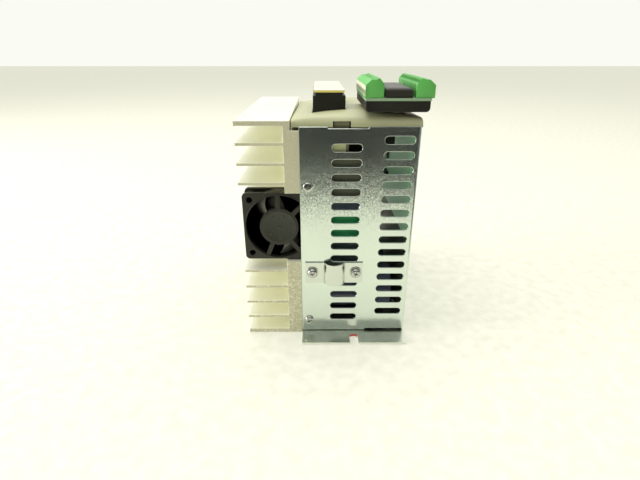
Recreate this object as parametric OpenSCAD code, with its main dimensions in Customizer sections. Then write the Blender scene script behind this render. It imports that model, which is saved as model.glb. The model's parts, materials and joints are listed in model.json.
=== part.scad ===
// Panel-mount power supply unit: zinc-plated housing with a finned heatsink and a fan
// on its left side, a plastic hood with a pluggable power connector and a plug-on
// terminal module. Origin: centre of the housing's mounting face. +Z points from the
// mounting panel out through the hood, -Y is the end with the shield clamp.

/* [Housing] */
// Width of the sheet-metal housing
body_w = 79; // [78:0.5:80]
// Length of the housing and the heatsink
body_d = 150; // [149:0.5:152]
// Height of the vented cover above the mounting face
cover_h = 158; // [158:0.5:159]
// Thickness of the chassis sheet
chassis_t = 1.5; // [1.2:0.1:1.5]
// Thickness of the vented cover sheet
cover_t = 1.2; // [1:0.1:1.2]
// Length of each mounting flange
flange_l = 15.5; // [14:0.5:18]
// Diameter of the mounting hole and width of the mounting slot
mount_d = 6.6; // [5.5:0.1:7]
// Distance from the housing's end to the mounting hole or the slot's round end
mount_in = 8.8; // [8:0.1:9.5]

/* [Vents] */
// Length of one ventilation slot
vent_l = 19.8; // [16:0.2:20]
// Height of one ventilation slot
vent_h = 5; // [4:0.5:6]
// Distance between slots in a column
vent_pitch = 10; // [9:0.5:10]
// Slots in a column
vent_rows = 14; // [10:1:14]

/* [Heatsink] */
// Distance from the housing to the fin tips
sink_w = 41.6; // [38:0.2:44]
// Thickness of the heatsink's base plate
sink_base_t = 10.3; // [9:0.1:11]
// Number of fins
fin_count = 13; // [13:1:13]
// Thickness of an inner fin
fin_t = 2; // [1.6:0.1:2.4]
// Thickness of the two outer fins
outer_fin_t = 3.2; // [2.6:0.1:3.6]

/* [Fan] */
// Side of the square fan frame
fan_size = 50; // [50:1:50]
// Depth of the fan
fan_t = 15; // [15:1:15]
// Distance between fan mounting holes
fan_hole_pitch = 40; // [40:1:40]
// Number of fan blades
blade_count = 7; // [5:1:9]

/* [Power plug] */
// Number of poles in the power plug
plug_poles = 11; // [8:1:11]
// Distance between its poles
plug_pitch = 7.62; // [7.5:0.01:7.62]

/* [Terminal module] */
// Number of poles in each terminal block
io_poles = 13; // [10:1:13]
// Distance between its poles
io_pitch = 5.08; // [5:0.01:5.08]

/* [Hidden] */
$fn = 48;
eps = 0.01;
cut = 1;                       // how far a cutting shape runs past a face

half_w = body_w / 2;
half_d = body_d / 2;
inner_x = half_w - cover_t;    // inside of the cover's side wall
inner_y = half_d - cover_t;    // inside of the cover's end panels
zinc = [0.78, 0.82, 0.76];
steel = [0.72, 0.73, 0.72];
black = [0.13, 0.13, 0.12];
beige = [0.80, 0.80, 0.66];
board_green = [0.10, 0.42, 0.22];
block_green = [0.33, 0.66, 0.30];

// Vent columns: centre of each, and the height of its top slot
vent_cols = [[-8.15, 144.5], [25.9, 149.5]];
clamp_row = 9;                 // row of the first column that the clamp's screws take

// Cover details
bend_r = 1.8;
cover_z = chassis_t + 0.6;        // the cover's lower edge clears the chassis
relief_x = 9;
relief_z = 3.5;
recess_x = [-20.7, 5.3];
recess_drop = 1.1;
screw_x = -34;
screw_z = [11.7, 118.4];
side_screw_y = [-45, 45];
side_screw_z = 8;
m4 = 2;
m4_head_r = 3.5;
m4_head_h = 2;
m3 = 1.5;
m3_head_r = 2.8;
m3_head_h = 1.8;

// Chassis tabs
strip_w = 11;
strip_h = 123;
strip_y = inner_y - chassis_t;
lug_h = 16;
lug_z = 9;
lug_screw_y = [-40, 0, 40];
lug_l = 110;
side_lug_h = 14;

// Heatsink levels
fin_top = 161.7;
fin_step = (fin_top - outer_fin_t) / (fin_count - 1);
base_x = -half_w - sink_base_t;
tip_x = -half_w - sink_w;
ledge_x = -45.3;
ledge_z = 155.5;
notch_z = [62.5, 113.8];
notch_d = 21;

// Fan
fan_x = -54.7;
fan_z = 88.2;
fan_y = -strip_y;              // its near face
fan_far = fan_y + fan_t;
duct_r = 23.5;
barrel_r = 24.9;
fan_flange_t = 3;
fan_hole_r = 2.15;
hub_r = 13.75;
hub_t = 1.5;
strut_angles = [44, 91, 248, 307];
strut_w = 3.2;
boss_r = 3.2;
tube_r = 4.2;
bearing_r = 3;
bearing_w = 2.5;
shaft_r = 1;
shaft_gap = 0.03;
cup_r = 13.2;
cup_wall = 1;
magnet_t = 1.3;
blade_tip_r = 22.7;
rotor_y = [fan_y + 2.7, fan_far - 1];

// Shield clamp
clamp_t = 1.2;
clamp_x = [-36.4, 5.4];
clamp_z = [45.1, 61.8];
clamp_mid_z = 54;
clamp_screw_x = [-31.4, 0.2];
hump_x = -15.4;
hump_r = 8.3;
hump_rise = 6.5;
washer_t = 0.8;
washer_r = 4.4;
clamp_face_y = -half_d - clamp_t;

// Hood
hood_x = [-45, 39.9];           // its left edge stands just clear of the heatsink
hood_y = half_d - cover_t;
hood_z = 157.5;
skirt_top = 161.6;
crest_z = 166.6;
crest_y = -60;
crown_r = 210;
hood_t = 2;
nose_r = 21.5;
crown_fall = 2.1;              // slope of the crown towards the far end, degrees
window_x = [-17.6, -6.1];
window_top = 161.1;

// Power connector
header_x = [-30.6, -8.8];
header_y = [-55, 34];
header_z = [152, 167];
header_wall = 2.2;
header_floor = 156;
fit_gap = 0.4;
plug_x = -19.7;
plug_y0 = (header_y[0] + header_y[1]) / 2 - (plug_poles - 1) * plug_pitch / 2;
plug_neck_z = [174.8, 176.9];
plug_neck_x = [-28.9, -10.9];
plug_cover_x = [-29.9, -9.5];
plug_cover_t = 1.4;
pin_w = [3, 1];
pin_z = [148, 164];
plug_hole_r = 2.1;
plug_entry = [5.4, 3.8, 11];   // wire entry: along Y, along Z, depth

// Terminal module
io_x = [2.6, 43];
io_y = [-75, -9];
io_z = 166.9;
tray_t = 2;
tray_top = 173.6;
tray_r = 2.5;
pcb_t = 1.6;
block_z = tray_top + pcb_t;
block_mirror_x = 23.6;
block_profile = [
    [2, 0], [2, 7.7], [5.9, 10.9], [7.9, 10.5], [10.7, 11.7], [13.7, 8.1], [13.5, 0]
];
io_y0 = (io_y[0] + io_y[1]) / 2 - (io_poles - 1) * io_pitch / 2;
io_entry = [3.4, 3.6, 7];      // wire entry: along Y, along Z, depth
io_entry_z = 3.4;
io_screw_r = 1.7;
io_screw_at = [12.2, 9.9];     // middle of the screw face, in the block's profile
io_screw_tilt = 50.2;          // its normal, from +Z towards the module's middle
dsub_x = 23.35;
dsub_y = -47;
dsub_flange = [12.5, 39];
dsub_shell = [8.4, 25.3];
shell_t = 0.4;
dsub_screw = 16.65;
dsub_rows = [[-2.1, 9], [0, 9], [2.1, 8]];
dsub_pitch = 2.29;
dpin_r = 0.38;
dsub_plug_z = [160.3, 167.5];
dsub_face_z = 165.6;
dsub_seat_z = 158.3;
socket_z = 152.6;              // underside of the fixed connector's body, and of its foot
socket_foot_z = 141.2;
cap_x = [15.1, 31.6];
cap_y = [-74, -25];
cap_h = 6.1;
cap_r = 2.5;

// Circuit boards and what they carry
pcb_x = -27;
pcb_face = pcb_x + pcb_t;
pcb_y = [-70, 68];
pcb_z = [6, 150];
standoff_at = [[-64, 14], [62, 14], [62, 142], [-64, 142]];
module_y = [-20, 40];
module_z = [62, 108];
pad_t = 0.5;
cap_can_r = 17.5;
cap_can_l = 54;
cap_can_z = 31;
cap_can_y = [-51.5, -13, 25.5];
trafo_y = [-66, -38];
trafo_z = [104, 136];
trafo_x = [-8, 9];
choke_y = 2;
choke_z = 120;
control_x = 35.4;
gate_y = -69.5;
control_y = [-68, 48];
control_z = [78, 152];
frame_z = [152.5, 155];
frame_lip_y = 56;
frame_lip_z = 140;
frame_screw_y = [-45, 45];
frame_screw_z = 146;
catch_x = [-16.8, -6.9];       // the frame's catches, inside the hood's windows
catch_z = [158.3, 160.8];
catch_t = 1.6;
catch_hook = 0.3;
guide_z = 137;                 // lower end of the near board guide
apron_x = [-20.8, 4.4];        // insulating apron below the guide
apron_z = 109.5;
choke_r = 13;
choke_wire = 2;
fuse_z = 134;
fuse_y = 26;
fuse_x = pcb_face + 6;
fuse_r = 2.6;
module_screw_y = [module_y[0] + 4, module_y[1] - 4];
module_mid_z = (module_z[0] + module_z[1]) / 2;
chips = [[32, 125, 20, 20], [37, 144, 12, 10], [22, 144, 10, 10], [34, 109, 14, 6]];
ribbon_y = [20, 42];
liner_t = 0.4;
liner_x = [-24, inner_x - chassis_t - 0.1];
liner_y = 70;
liner_top = 77.5;
relay_y = [-60.9, -50];
relay_z = [138.8, 151.5];
relay_l = 29;
ribbon_z = 88;
ribbon_t = 0.9;
ribbon_rise = 12;
socket_h = 8;
socket_shell = [dsub_shell[0] - 2 * shell_t - 0.2, dsub_shell[1] - 2 * shell_t - 0.2];
socket_core = [socket_shell[0] - 2 * shell_t, socket_shell[1] - 2 * shell_t];
plug_core = [dsub_shell[0] - 2 * shell_t, dsub_shell[1] - 2 * shell_t];

module slab(low, high) {
    translate(low) cube(high - low);
}

module obround(length, height) {
    square([length - height, height], center = true);
    for (side = [-1, 1]) translate([side * (length - height) / 2, 0]) circle(d = height);
}

// Turns a shape drawn along +Z so that it points along -Y
module facing_near() {
    rotate([90, 0, 0]) children();
}

// Turns a shape drawn along +Z so that it points along +X
module facing_right() {
    rotate([0, 90, 0]) children();
}

// Pan-head screw with a cross recess: head on +Z, shank down -Z
module screw(head_r, head_h, shank_r, shank_l) {
    recess = head_r * 1.1;
    recess_w = head_r * 0.28;
    difference() {
        union() {
            cylinder(r = head_r, h = head_h * 0.55);
            translate([0, 0, head_h * 0.55]) cylinder(r1 = head_r, r2 = head_r * 0.72, h = head_h * 0.45);
        }
        for (turn = [0, 90]) rotate(turn) translate([-recess / 2, -recess_w / 2, head_h * 0.45])
            cube([recess, recess_w, head_h]);
    }
    translate([0, 0, -shank_l]) cylinder(r = shank_r, h = shank_l + eps);
}

module both_ends() {
    children();
    mirror([0, 1, 0]) children();
}

// ---------- Housing ----------

module chassis() {
    color(zinc) difference() {
        union() {
            slab([-half_w, -half_d - flange_l, 0], [half_w, half_d + flange_l, chassis_t]);
            slab([-half_w, -lug_l / 2, 0], [-half_w + chassis_t, lug_l / 2, lug_h]);
            slab([inner_x - chassis_t, -lug_l / 2, 0], [inner_x, lug_l / 2, side_lug_h]);
            both_ends() slab([-half_w, -inner_y, 0], [-half_w + strip_w, -strip_y, strip_h]);
        }
        translate([0, -half_d - mount_in, -cut]) cylinder(d = mount_d, h = chassis_t + 2 * cut);
        slab([-mount_d / 2, -half_d - flange_l - cut, -cut],
             [mount_d / 2, -half_d - mount_in, chassis_t + cut]);
        translate([0, half_d + mount_in, -cut]) cylinder(d = mount_d, h = chassis_t + 2 * cut);
        for (z = screw_z) both_ends() translate([screw_x, -strip_y + cut, z])
            facing_near() cylinder(r = m4, h = chassis_t + 2 * cut);
        fan_screws();
        translate([clamp_screw_x[0], -strip_y + cut, clamp_mid_z])
            facing_near() cylinder(r = 4.4, h = chassis_t + 2 * cut);
        for (y = lug_screw_y) translate([-half_w - cut, y, lug_z])
            facing_right() cylinder(r = m3, h = chassis_t + 2 * cut);
        for (y = side_screw_y) translate([inner_x - chassis_t - cut, y, side_screw_z])
            facing_right() cylinder(r = m4, h = chassis_t + 2 * cut);
    }
}

// The cover's outer form, or with an inset of the sheet's thickness the space inside it,
// which runs out through the open left side, top and bottom
module cover_wrap(inset) {
    slab([-half_w - inset, -half_d + inset, cover_z - inset],
         [half_w - bend_r, half_d - inset, cover_h + inset]);
    slab([0, -half_d + bend_r, cover_z - inset], [half_w - inset, half_d - bend_r, cover_h + inset]);
    both_ends() translate([half_w - bend_r, -half_d + bend_r, cover_z - inset])
        cylinder(r = bend_r - inset, h = cover_h - cover_z + 2 * inset);
}

module vent_slots() {
    for (col = [0, 1]) for (row = [0 : vent_rows - 1])
        if (col == 1 || row != clamp_row)
            translate([vent_cols[col][0], -inner_y + cut, vent_cols[col][1] - row * vent_pitch])
                facing_near() linear_extrude(cover_t + 2 * cut) obround(vent_l, vent_h);
}

module vent_cover() {
    color(zinc) difference() {
        cover_wrap(0);
        cover_wrap(cover_t);
        both_ends() {
            vent_slots();
            slab([recess_x[0], -half_d - cut, cover_h - recess_drop],
                 [recess_x[1], -inner_y + cut, cover_h + cut]);
            slab([relief_x, -half_d - cut, 0], [half_w + cut, -inner_y + cut, relief_z]);
            for (z = screw_z) translate([screw_x, -inner_y + cut, z])
                facing_near() cylinder(r = m4, h = cover_t + 2 * cut);
        }
        slab([inner_x - cut, -inner_y, hood_z], [half_w + cut, inner_y, cover_h + cut]);
        for (x = clamp_screw_x) translate([x, -inner_y + cut, clamp_mid_z])
            facing_near() cylinder(r = m4, h = cover_t + 2 * cut);
        for (y = side_screw_y) translate([inner_x - cut, y, side_screw_z])
            facing_right() cylinder(r = m4, h = cover_t + 2 * cut);
    }
}

module cover_screws() {
    color(steel) {
        both_ends() for (z = screw_z) translate([screw_x, -half_d, z])
            facing_near() screw(m4_head_r, m4_head_h, m4, 6);
        for (y = side_screw_y) translate([half_w, y, side_screw_z])
            facing_right() screw(m4_head_r, m4_head_h, m4, 6);
    }
}

module chassis_screws() {
    color(steel) for (y = lug_screw_y) translate([-half_w + chassis_t, y, lug_z])
        facing_right() screw(m3_head_r, m3_head_h, m3, 7);
}

// ---------- Heatsink ----------

module heatsink() {
    color([0.80, 0.80, 0.68]) difference() {
        union() {
            slab([base_x, -half_d, 0], [-half_w, half_d, ledge_z]);
            slab([base_x, -half_d, 0], [ledge_x, half_d, fin_top]);
            for (i = [0 : fin_count - 1]) {
                outer = i == 0 || i == fin_count - 1;
                t = outer ? outer_fin_t : fin_t;
                z = i * fin_step + outer_fin_t / 2;
                slab([tip_x, -half_d, z - t / 2], [base_x + eps, half_d, z + t / 2]);
            }
        }
        slab([tip_x - cut, -half_d - cut, notch_z[0]], [-half_w + cut, -half_d + notch_d, notch_z[1]]);
        for (y = lug_screw_y) translate([-half_w + chassis_t - 7, y, lug_z])
            facing_right() cylinder(r = m3, h = 7);
        for (at = standoff_at) translate([-half_w - 6, at[0], at[1]])
            facing_right() cylinder(r = m3, h = 6 + cut);
        for (y = module_screw_y) translate([-half_w - 5, y, module_mid_z])
            facing_right() cylinder(r = m3, h = 5 + cut);
        for (y = frame_screw_y) translate([-half_w - 5, y, frame_screw_z])
            facing_right() cylinder(r = m3, h = 5 + cut);
    }
}

// ---------- Shield clamp ----------

// Plan view of the strap: two flat ears and a round hump over the cable
module clamp_plan() {
    centre_y = -half_d - hump_rise + hump_r;
    difference() {
        union() {
            translate([clamp_x[0], -half_d - clamp_t]) square([clamp_x[1] - clamp_x[0], clamp_t]);
            intersection() {
                translate([hump_x, centre_y]) circle(r = hump_r, $fn = 96);
                translate([hump_x - hump_r, -half_d - 2 * hump_r]) square([2 * hump_r, 2 * hump_r]);
            }
        }
        intersection() {
            translate([hump_x, centre_y]) circle(r = hump_r - clamp_t, $fn = 96);
            translate([hump_x - hump_r, -half_d - 2 * hump_r]) square([2 * hump_r, 2 * hump_r + cut]);
        }
    }
}

module shield_clamp() {
    color([0.88, 0.90, 0.86]) difference() {
        translate([0, 0, clamp_z[0]]) linear_extrude(clamp_z[1] - clamp_z[0]) clamp_plan();
        for (x = clamp_screw_x) translate([x, -half_d + cut, clamp_mid_z])
            facing_near() cylinder(r = m4 + 0.3, h = clamp_t + 2 * cut);
    }
}

module clamp_washers() {
    color(steel) for (x = clamp_screw_x) translate([x, clamp_face_y, clamp_mid_z]) facing_near()
        difference() {
            cylinder(r = washer_r, h = washer_t);
            translate([0, 0, -cut]) cylinder(r = m4 + 0.3, h = washer_t + 2 * cut);
        }
}

module clamp_screws() {
    color(steel) for (x = clamp_screw_x) translate([x, clamp_face_y - washer_t, clamp_mid_z])
        facing_near() screw(m4_head_r, m4_head_h + 0.4, m4, 9);
}

module clamp_nuts() {
    color(steel) for (x = clamp_screw_x) translate([x, -inner_y + 2.4, clamp_mid_z])
        facing_near() difference() {
            cylinder(r = 4, h = 2.4, $fn = 6);
            translate([0, 0, -cut]) cylinder(r = m4, h = 2.4 + 2 * cut);
        }
}

// ---------- Fan: its axis runs along Y ----------

// Places a shape drawn on the fan's axis, with z = 0 at depth y and +Z towards +Y
module on_fan_axis(y) {
    translate([fan_x, y, fan_z]) rotate([-90, 0, 0]) children();
}

module tube(outer, inner, length) {
    difference() {
        cylinder(r = outer, h = length);
        translate([0, 0, -cut]) cylinder(r = inner, h = length + 2 * cut);
    }
}

module fan_flange() {
    corner = 3;
    side = fan_size / 2 - corner;
    difference() {
        union() {
            translate([-side, -fan_size / 2, 0]) cube([2 * side, fan_size, fan_flange_t]);
            translate([-fan_size / 2, -side, 0]) cube([fan_size, 2 * side, fan_flange_t]);
            for (a = [-1, 1]) for (b = [-1, 1]) translate([a * side, b * side, 0])
                cylinder(r = corner, h = fan_flange_t);
        }
        translate([0, 0, -cut]) cylinder(r = duct_r, h = fan_flange_t + 2 * cut);
        for (a = [-1, 1]) for (b = [-1, 1])
            translate([a * fan_hole_pitch / 2, b * fan_hole_pitch / 2, -cut])
                cylinder(r = fan_hole_r, h = fan_flange_t + 2 * cut);
    }
}

module fan_frame() {
    barrel_l = fan_t - 2 * fan_flange_t + 2 * eps;
    color(black) {
        on_fan_axis(fan_y) fan_flange();
        on_fan_axis(fan_far - fan_flange_t) fan_flange();
        on_fan_axis(fan_y + fan_flange_t - eps) {
            tube(barrel_r, duct_r, barrel_l);
            for (a = [-1, 1]) for (b = [-1, 1])
                translate([a * fan_hole_pitch / 2, b * fan_hole_pitch / 2, 0])
                    difference() {
                        tube(boss_r, fan_hole_r, barrel_l);
                        translate([-a * fan_hole_pitch / 2, -b * fan_hole_pitch / 2, -cut])
                            cylinder(r = duct_r, h = barrel_l + 2 * cut);
                    }
        }
        on_fan_axis(fan_y) tube(hub_r, bearing_r, hub_t);
        on_fan_axis(fan_y + hub_t - eps) tube(tube_r, bearing_r, 9);
        on_fan_axis(fan_y) for (a = strut_angles) rotate(-a)
            translate([hub_r - 0.5, -strut_w / 2, 0]) cube([duct_r - hub_r + 0.8, strut_w, 2.4]);
    }
}

// Countersunk screws through the near chassis strip into two of the fan's corner holes
module fan_screws() {
    color(steel) for (side = [-1, 1])
        translate([fan_x + fan_hole_pitch / 2, -inner_y, fan_z + side * fan_hole_pitch / 2])
            rotate([-90, 0, 0]) {
                cylinder(r1 = fan_hole_r + 1.2, r2 = fan_hole_r, h = 1.2);
                cylinder(r = fan_hole_r, h = chassis_t + fan_flange_t);
            }
}

module fan_bearings() {
    color(steel) for (y = [fan_y + 0.6, fan_y + 7.4]) on_fan_axis(y)
        tube(bearing_r, shaft_r + shaft_gap, bearing_w);
}

module fan_stator() {
    arms = 4;
    color([0.45, 0.45, 0.45]) on_fan_axis(fan_y + 4) difference() {
        union() {
            tube(6, tube_r, 5);
            for (i = [0 : arms - 1]) rotate(i * 360 / arms) translate([5, -1.5, 0]) cube([4.5, 3, 5]);
            for (i = [0 : arms - 1]) rotate(i * 360 / arms) translate([8.5, -4.5, 0]) cube([1, 9, 5]);
        }
        translate([0, 0, -cut]) cylinder(r = tube_r, h = 5 + 2 * cut);
        translate([0, 0, -cut]) difference() {
            cylinder(r = 20, h = 5 + 2 * cut);
            cylinder(r = 10.1, h = 5 + 2 * cut);
        }
    }
}

module fan_coils() {
    arms = 4;
    color([0.72, 0.40, 0.20]) on_fan_axis(fan_y + 3.6) for (i = [0 : arms - 1]) rotate(i * 360 / arms)
        difference() {
            translate([6.3, -2.6, 0]) cube([1.9, 5.2, 5.8]);
            translate([6.3 - cut, -1.5, 0.4]) cube([1.9 + 2 * cut, 3, 5]);
        }
}

module fan_board() {
    color(board_green) on_fan_axis(fan_y + hub_t) tube(11, tube_r, 0.8);
}

// Fan lead: from the frame's far flange to the power board
module fan_lead() {
    wire_r = 0.6;
    y = fan_far + 2;
    color([0.75, 0.1, 0.1]) for (z = [fan_z - 0.7, fan_z + 0.7]) {
        translate([fan_x + 24, fan_far, z]) rotate([-90, 0, 0]) cylinder(r = wire_r, h = y - fan_far);
        translate([fan_x + 24, y, z]) sphere(r = wire_r);
        translate([fan_x + 24, y, z]) facing_right() cylinder(r = wire_r, h = pcb_x - fan_x - 24);
    }
}

// One blade: a flat vane set at an angle across the annulus between hub and tip
module fan_blade() {
    depth = rotor_y[1] - rotor_y[0] - 1;
    intersection() {
        translate([(cup_r + blade_tip_r) / 2 - 0.4, 0, depth / 2 + 0.5])
            rotate([52, 0, 0]) cube([blade_tip_r - cup_r + 1, 16, 1], center = true);
        translate([0, 0, 0.5]) cylinder(r = blade_tip_r, h = depth);
    }
}

module fan_rotor() {
    depth = rotor_y[1] - rotor_y[0];
    color([0.16, 0.16, 0.15]) on_fan_axis(rotor_y[0]) {
        tube(cup_r, cup_r - cup_wall, depth);
        translate([0, 0, depth - 1.2]) tube(cup_r - cup_wall + eps, shaft_r, 1.2);
        for (i = [0 : blade_count - 1]) rotate(i * 360 / blade_count) fan_blade();
    }
}

module fan_magnet() {
    color([0.35, 0.35, 0.36]) on_fan_axis(rotor_y[0] + 0.8)
        tube(cup_r - cup_wall, cup_r - cup_wall - magnet_t, 8);
}

module fan_shaft() {
    color(steel) on_fan_axis(fan_y + 1) cylinder(r = shaft_r, h = rotor_y[1] - fan_y - 1);
}

// ---------- Hood ----------

// Outer form of the hood, shrunk by inset on every side but the bottom
module hood_form(inset) {
    x = [hood_x[0] + inset, hood_x[1] - inset];
    y = hood_y - inset;
    low = hood_z - (inset > 0 ? cut : 0);
    module side_view() {
        difference() {
            translate([-y, low]) square([2 * y, crest_z - inset - low + 4]);
            difference() {
                translate([-y - cut, skirt_top - inset]) square([crest_y + y + cut, 20]);
                translate([crest_y, crest_z - nose_r]) circle(r = nose_r - inset, $fn = 128);
            }
        }
    }
    intersection() {
        translate([x[0], 0, 0]) rotate([90, 0, 90]) linear_extrude(x[1] - x[0]) side_view();
        union() {
            slab([x[0], -y, low], [x[1], y, skirt_top - inset]);
            intersection() {
                slab([x[0], -y, low], [x[1], y, crest_z + cut]);
                translate([0, crest_y, crest_z - inset - crown_r]) rotate([-90 - crown_fall, 0, 0])
                    translate([0, 0, -40]) cylinder(r = crown_r, h = 240, $fn = 360);
            }
        }
    }
}

module hood() {
    color(beige) difference() {
        hood_form(0);
        hood_form(hood_t);
        slab([header_x[0] - 0.6, header_y[0] - 0.6, hood_z - cut],
             [header_x[1] + 0.6, header_y[1] + 0.6, crest_z + 5]);
        slab([dsub_x - 7, dsub_y - 20.3, hood_z - cut], [dsub_x + 7, dsub_y + 20.3, crest_z + 5]);
        both_ends() slab([window_x[0], -hood_y - cut, hood_z - cut],
                         [window_x[1], -hood_y + hood_t + catch_t + fit_gap, window_top]);
    }
}

// Inner frame that carries the boards' front edges and the hood's catches
module inner_frame() {
    reach = hood_y - hood_t;
    color(beige) difference() {
        union() {
            slab([-half_w + 2, -reach, frame_z[0]], [inner_x - 0.4, reach, frame_z[1]]);
            slab([-half_w, -frame_lip_y, frame_lip_z], [-half_w + 2, frame_lip_y, frame_z[1]]);
            both_ends() {
                slab([catch_x[0], -reach, frame_z[0]], [catch_x[1], -reach + catch_t, catch_z[1]]);
                slab([catch_x[0], -reach - catch_hook, catch_z[0]], [catch_x[1], -reach + eps, catch_z[1]]);
            }
            slab([catch_x[0], -reach, guide_z], [catch_x[1], -reach + catch_t, frame_z[0] + eps]);
            slab([apron_x[0], -reach, apron_z], [apron_x[1], -reach + catch_t, guide_z + eps]);
        }
        slab([header_x[0] - 0.4, header_y[0] - 0.4, frame_z[0] - cut],
             [header_x[1] + 0.4, header_y[1] + 0.4, frame_z[1] + cut]);
        slab([dsub_x - 6.9, dsub_y - 20, frame_z[0] - cut], [inner_x, dsub_y + 20, frame_z[1] + cut]);
        for (y = frame_screw_y) translate([-half_w - cut, y, frame_screw_z])
            facing_right() cylinder(r = m3, h = 2 + 2 * cut);
    }
}

module frame_screws() {
    color(steel) for (y = frame_screw_y) translate([-half_w + 2, y, frame_screw_z])
        facing_right() screw(m3_head_r, m3_head_h, m3, 7);
}

// ---------- Power connector ----------

function pole_y(i) = plug_y0 + i * plug_pitch;

module power_header() {
    color(black) difference() {
        slab([header_x[0], header_y[0], header_z[0]], [header_x[1], header_y[1], header_z[1]]);
        slab([header_x[0] + header_wall, header_y[0] + header_wall, header_floor],
             [header_x[1] - header_wall, header_y[1] - header_wall, header_z[1] + cut]);
        for (i = [0 : plug_poles - 1]) translate([plug_x, pole_y(i), header_floor - 3])
            cube([pin_w[0], pin_w[1], 10], center = true);
    }
}

module header_pins() {
    color([0.80, 0.76, 0.60]) for (i = [0 : plug_poles - 1]) {
        y = [pole_y(i) - pin_w[1] / 2, pole_y(i) + pin_w[1] / 2];
        slab([plug_x - pin_w[0] / 2, y[0], pin_z[0]], [plug_x + pin_w[0] / 2, y[1], pin_z[1]]);
        slab([pcb_face, y[0], pin_z[0]], [plug_x, y[1], pin_z[0] + pin_w[1]]);
    }
}

module power_plug() {
    tongue_x = [header_x[0] + header_wall + fit_gap, header_x[1] - header_wall - fit_gap];
    tongue_y = [header_y[0] + header_wall + fit_gap, header_y[1] - header_wall - fit_gap];
    color(black) difference() {
        union() {
            slab([tongue_x[0], tongue_y[0], header_floor + 1], [tongue_x[1], tongue_y[1], header_z[1] + 1]);
            slab([header_x[0], header_y[0], header_z[1]], [header_x[1], header_y[1], plug_neck_z[0]]);
            slab([plug_neck_x[0], header_y[0], plug_neck_z[0] - cut],
                 [plug_neck_x[1], header_y[1], plug_neck_z[1]]);
        }
        for (i = [0 : plug_poles - 1]) {
            translate([plug_x, pole_y(i), header_floor + 6])
                cube([pin_w[0] + 1, pin_w[1] + 1, 12], center = true);
            translate([plug_x, pole_y(i), plug_neck_z[1] - 5]) cylinder(r = plug_hole_r, h = 5 + cut);
            slab([header_x[1] - plug_entry[2], pole_y(i) - plug_entry[0] / 2, 168.6],
                 [header_x[1] + cut, pole_y(i) + plug_entry[0] / 2, 168.6 + plug_entry[1]]);
        }
    }
}

module plug_screws() {
    color(steel) for (i = [0 : plug_poles - 1]) translate([plug_x, pole_y(i), plug_neck_z[1] - 5])
        difference() {
            cylinder(r = plug_hole_r - 0.1, h = 2.6);
            translate([-plug_hole_r, -0.3, 1.8]) cube([2 * plug_hole_r, 0.6, 2]);
        }
}

module plug_cover() {
    groove = 0.3;
    top = plug_neck_z[1] + plug_cover_t;
    color([0.96, 0.92, 0.60]) difference() {
        slab([plug_cover_x[0], header_y[0], plug_neck_z[1]], [plug_cover_x[1], header_y[1], top]);
        for (i = [1 : plug_poles - 1]) {
            y = pole_y(i) - plug_pitch / 2;
            slab([plug_cover_x[0] - cut, y - groove, top - groove],
                 [plug_cover_x[1] + cut, y + groove, top + cut]);
        }
    }
}

// ---------- Signal connector: fixed half ----------

// Outline of a D-shaped shell, wide side towards -X, with its length along Y
module d_outline(size) {
    skew = size[0] * 0.17;
    polygon([
        [-size[0] / 2, -size[1] / 2], [-size[0] / 2, size[1] / 2],
        [size[0] / 2, size[1] / 2 - skew], [size[0] / 2, -size[1] / 2 + skew]
    ]);
}

module d_tube(size, wall, low, high) {
    inner = [size[0] - 2 * wall, size[1] - 2 * wall];
    translate([dsub_x, dsub_y, low]) difference() {
        linear_extrude(high - low) d_outline(size);
        translate([0, 0, -cut]) linear_extrude(high - low + 2 * cut) d_outline(inner);
    }
}

module at_pins() {
    for (row = dsub_rows) for (i = [0 : row[1] - 1])
        translate([dsub_x + row[0], dsub_y + (i - (row[1] - 1) / 2) * dsub_pitch, 0]) children();
}

module flange_plate(z, screw_r) {
    difference() {
        translate([dsub_x - dsub_flange[0] / 2, dsub_y - dsub_flange[1] / 2, z])
            cube([dsub_flange[0], dsub_flange[1], 1]);
        for (side = [-1, 1]) translate([dsub_x, dsub_y + side * dsub_screw, z - cut])
            cylinder(r = screw_r, h = 1 + 2 * cut);
    }
}

module front_connector() {
    color(black) difference() {
        union() {
            slab([dsub_x - 5, dsub_y - 14, socket_z], [control_x, dsub_y + 14, dsub_seat_z]);
            slab([dsub_x - 5, dsub_y - 14, socket_foot_z], [dsub_x + 1.4, dsub_y + 14, socket_z + eps]);
            translate([dsub_x, dsub_y, dsub_seat_z]) linear_extrude(dsub_face_z - 0.3 - dsub_seat_z)
                d_outline(socket_core);
        }
        at_pins() translate([0, 0, dsub_face_z - 7]) cylinder(r = dpin_r + 0.08, h = 8);
    }
}

module front_connector_shell() {
    color(steel) {
        difference() {
            flange_plate(dsub_seat_z, 1.5);
            translate([dsub_x, dsub_y, dsub_seat_z - cut]) linear_extrude(1 + 2 * cut) d_outline(socket_core);
        }
        d_tube(socket_shell, shell_t, dsub_seat_z + 1 - eps, dsub_face_z);
    }
}

module jack_posts() {
    color(steel) for (side = [-1, 1]) translate([dsub_x, dsub_y + side * dsub_screw, dsub_seat_z - 3]) {
        cylinder(r = 1.5, h = 4);
        translate([0, 0, 4]) cylinder(r = 2.4, h = 4.6, $fn = 6);
    }
}

// ---------- Terminal module ----------

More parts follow.
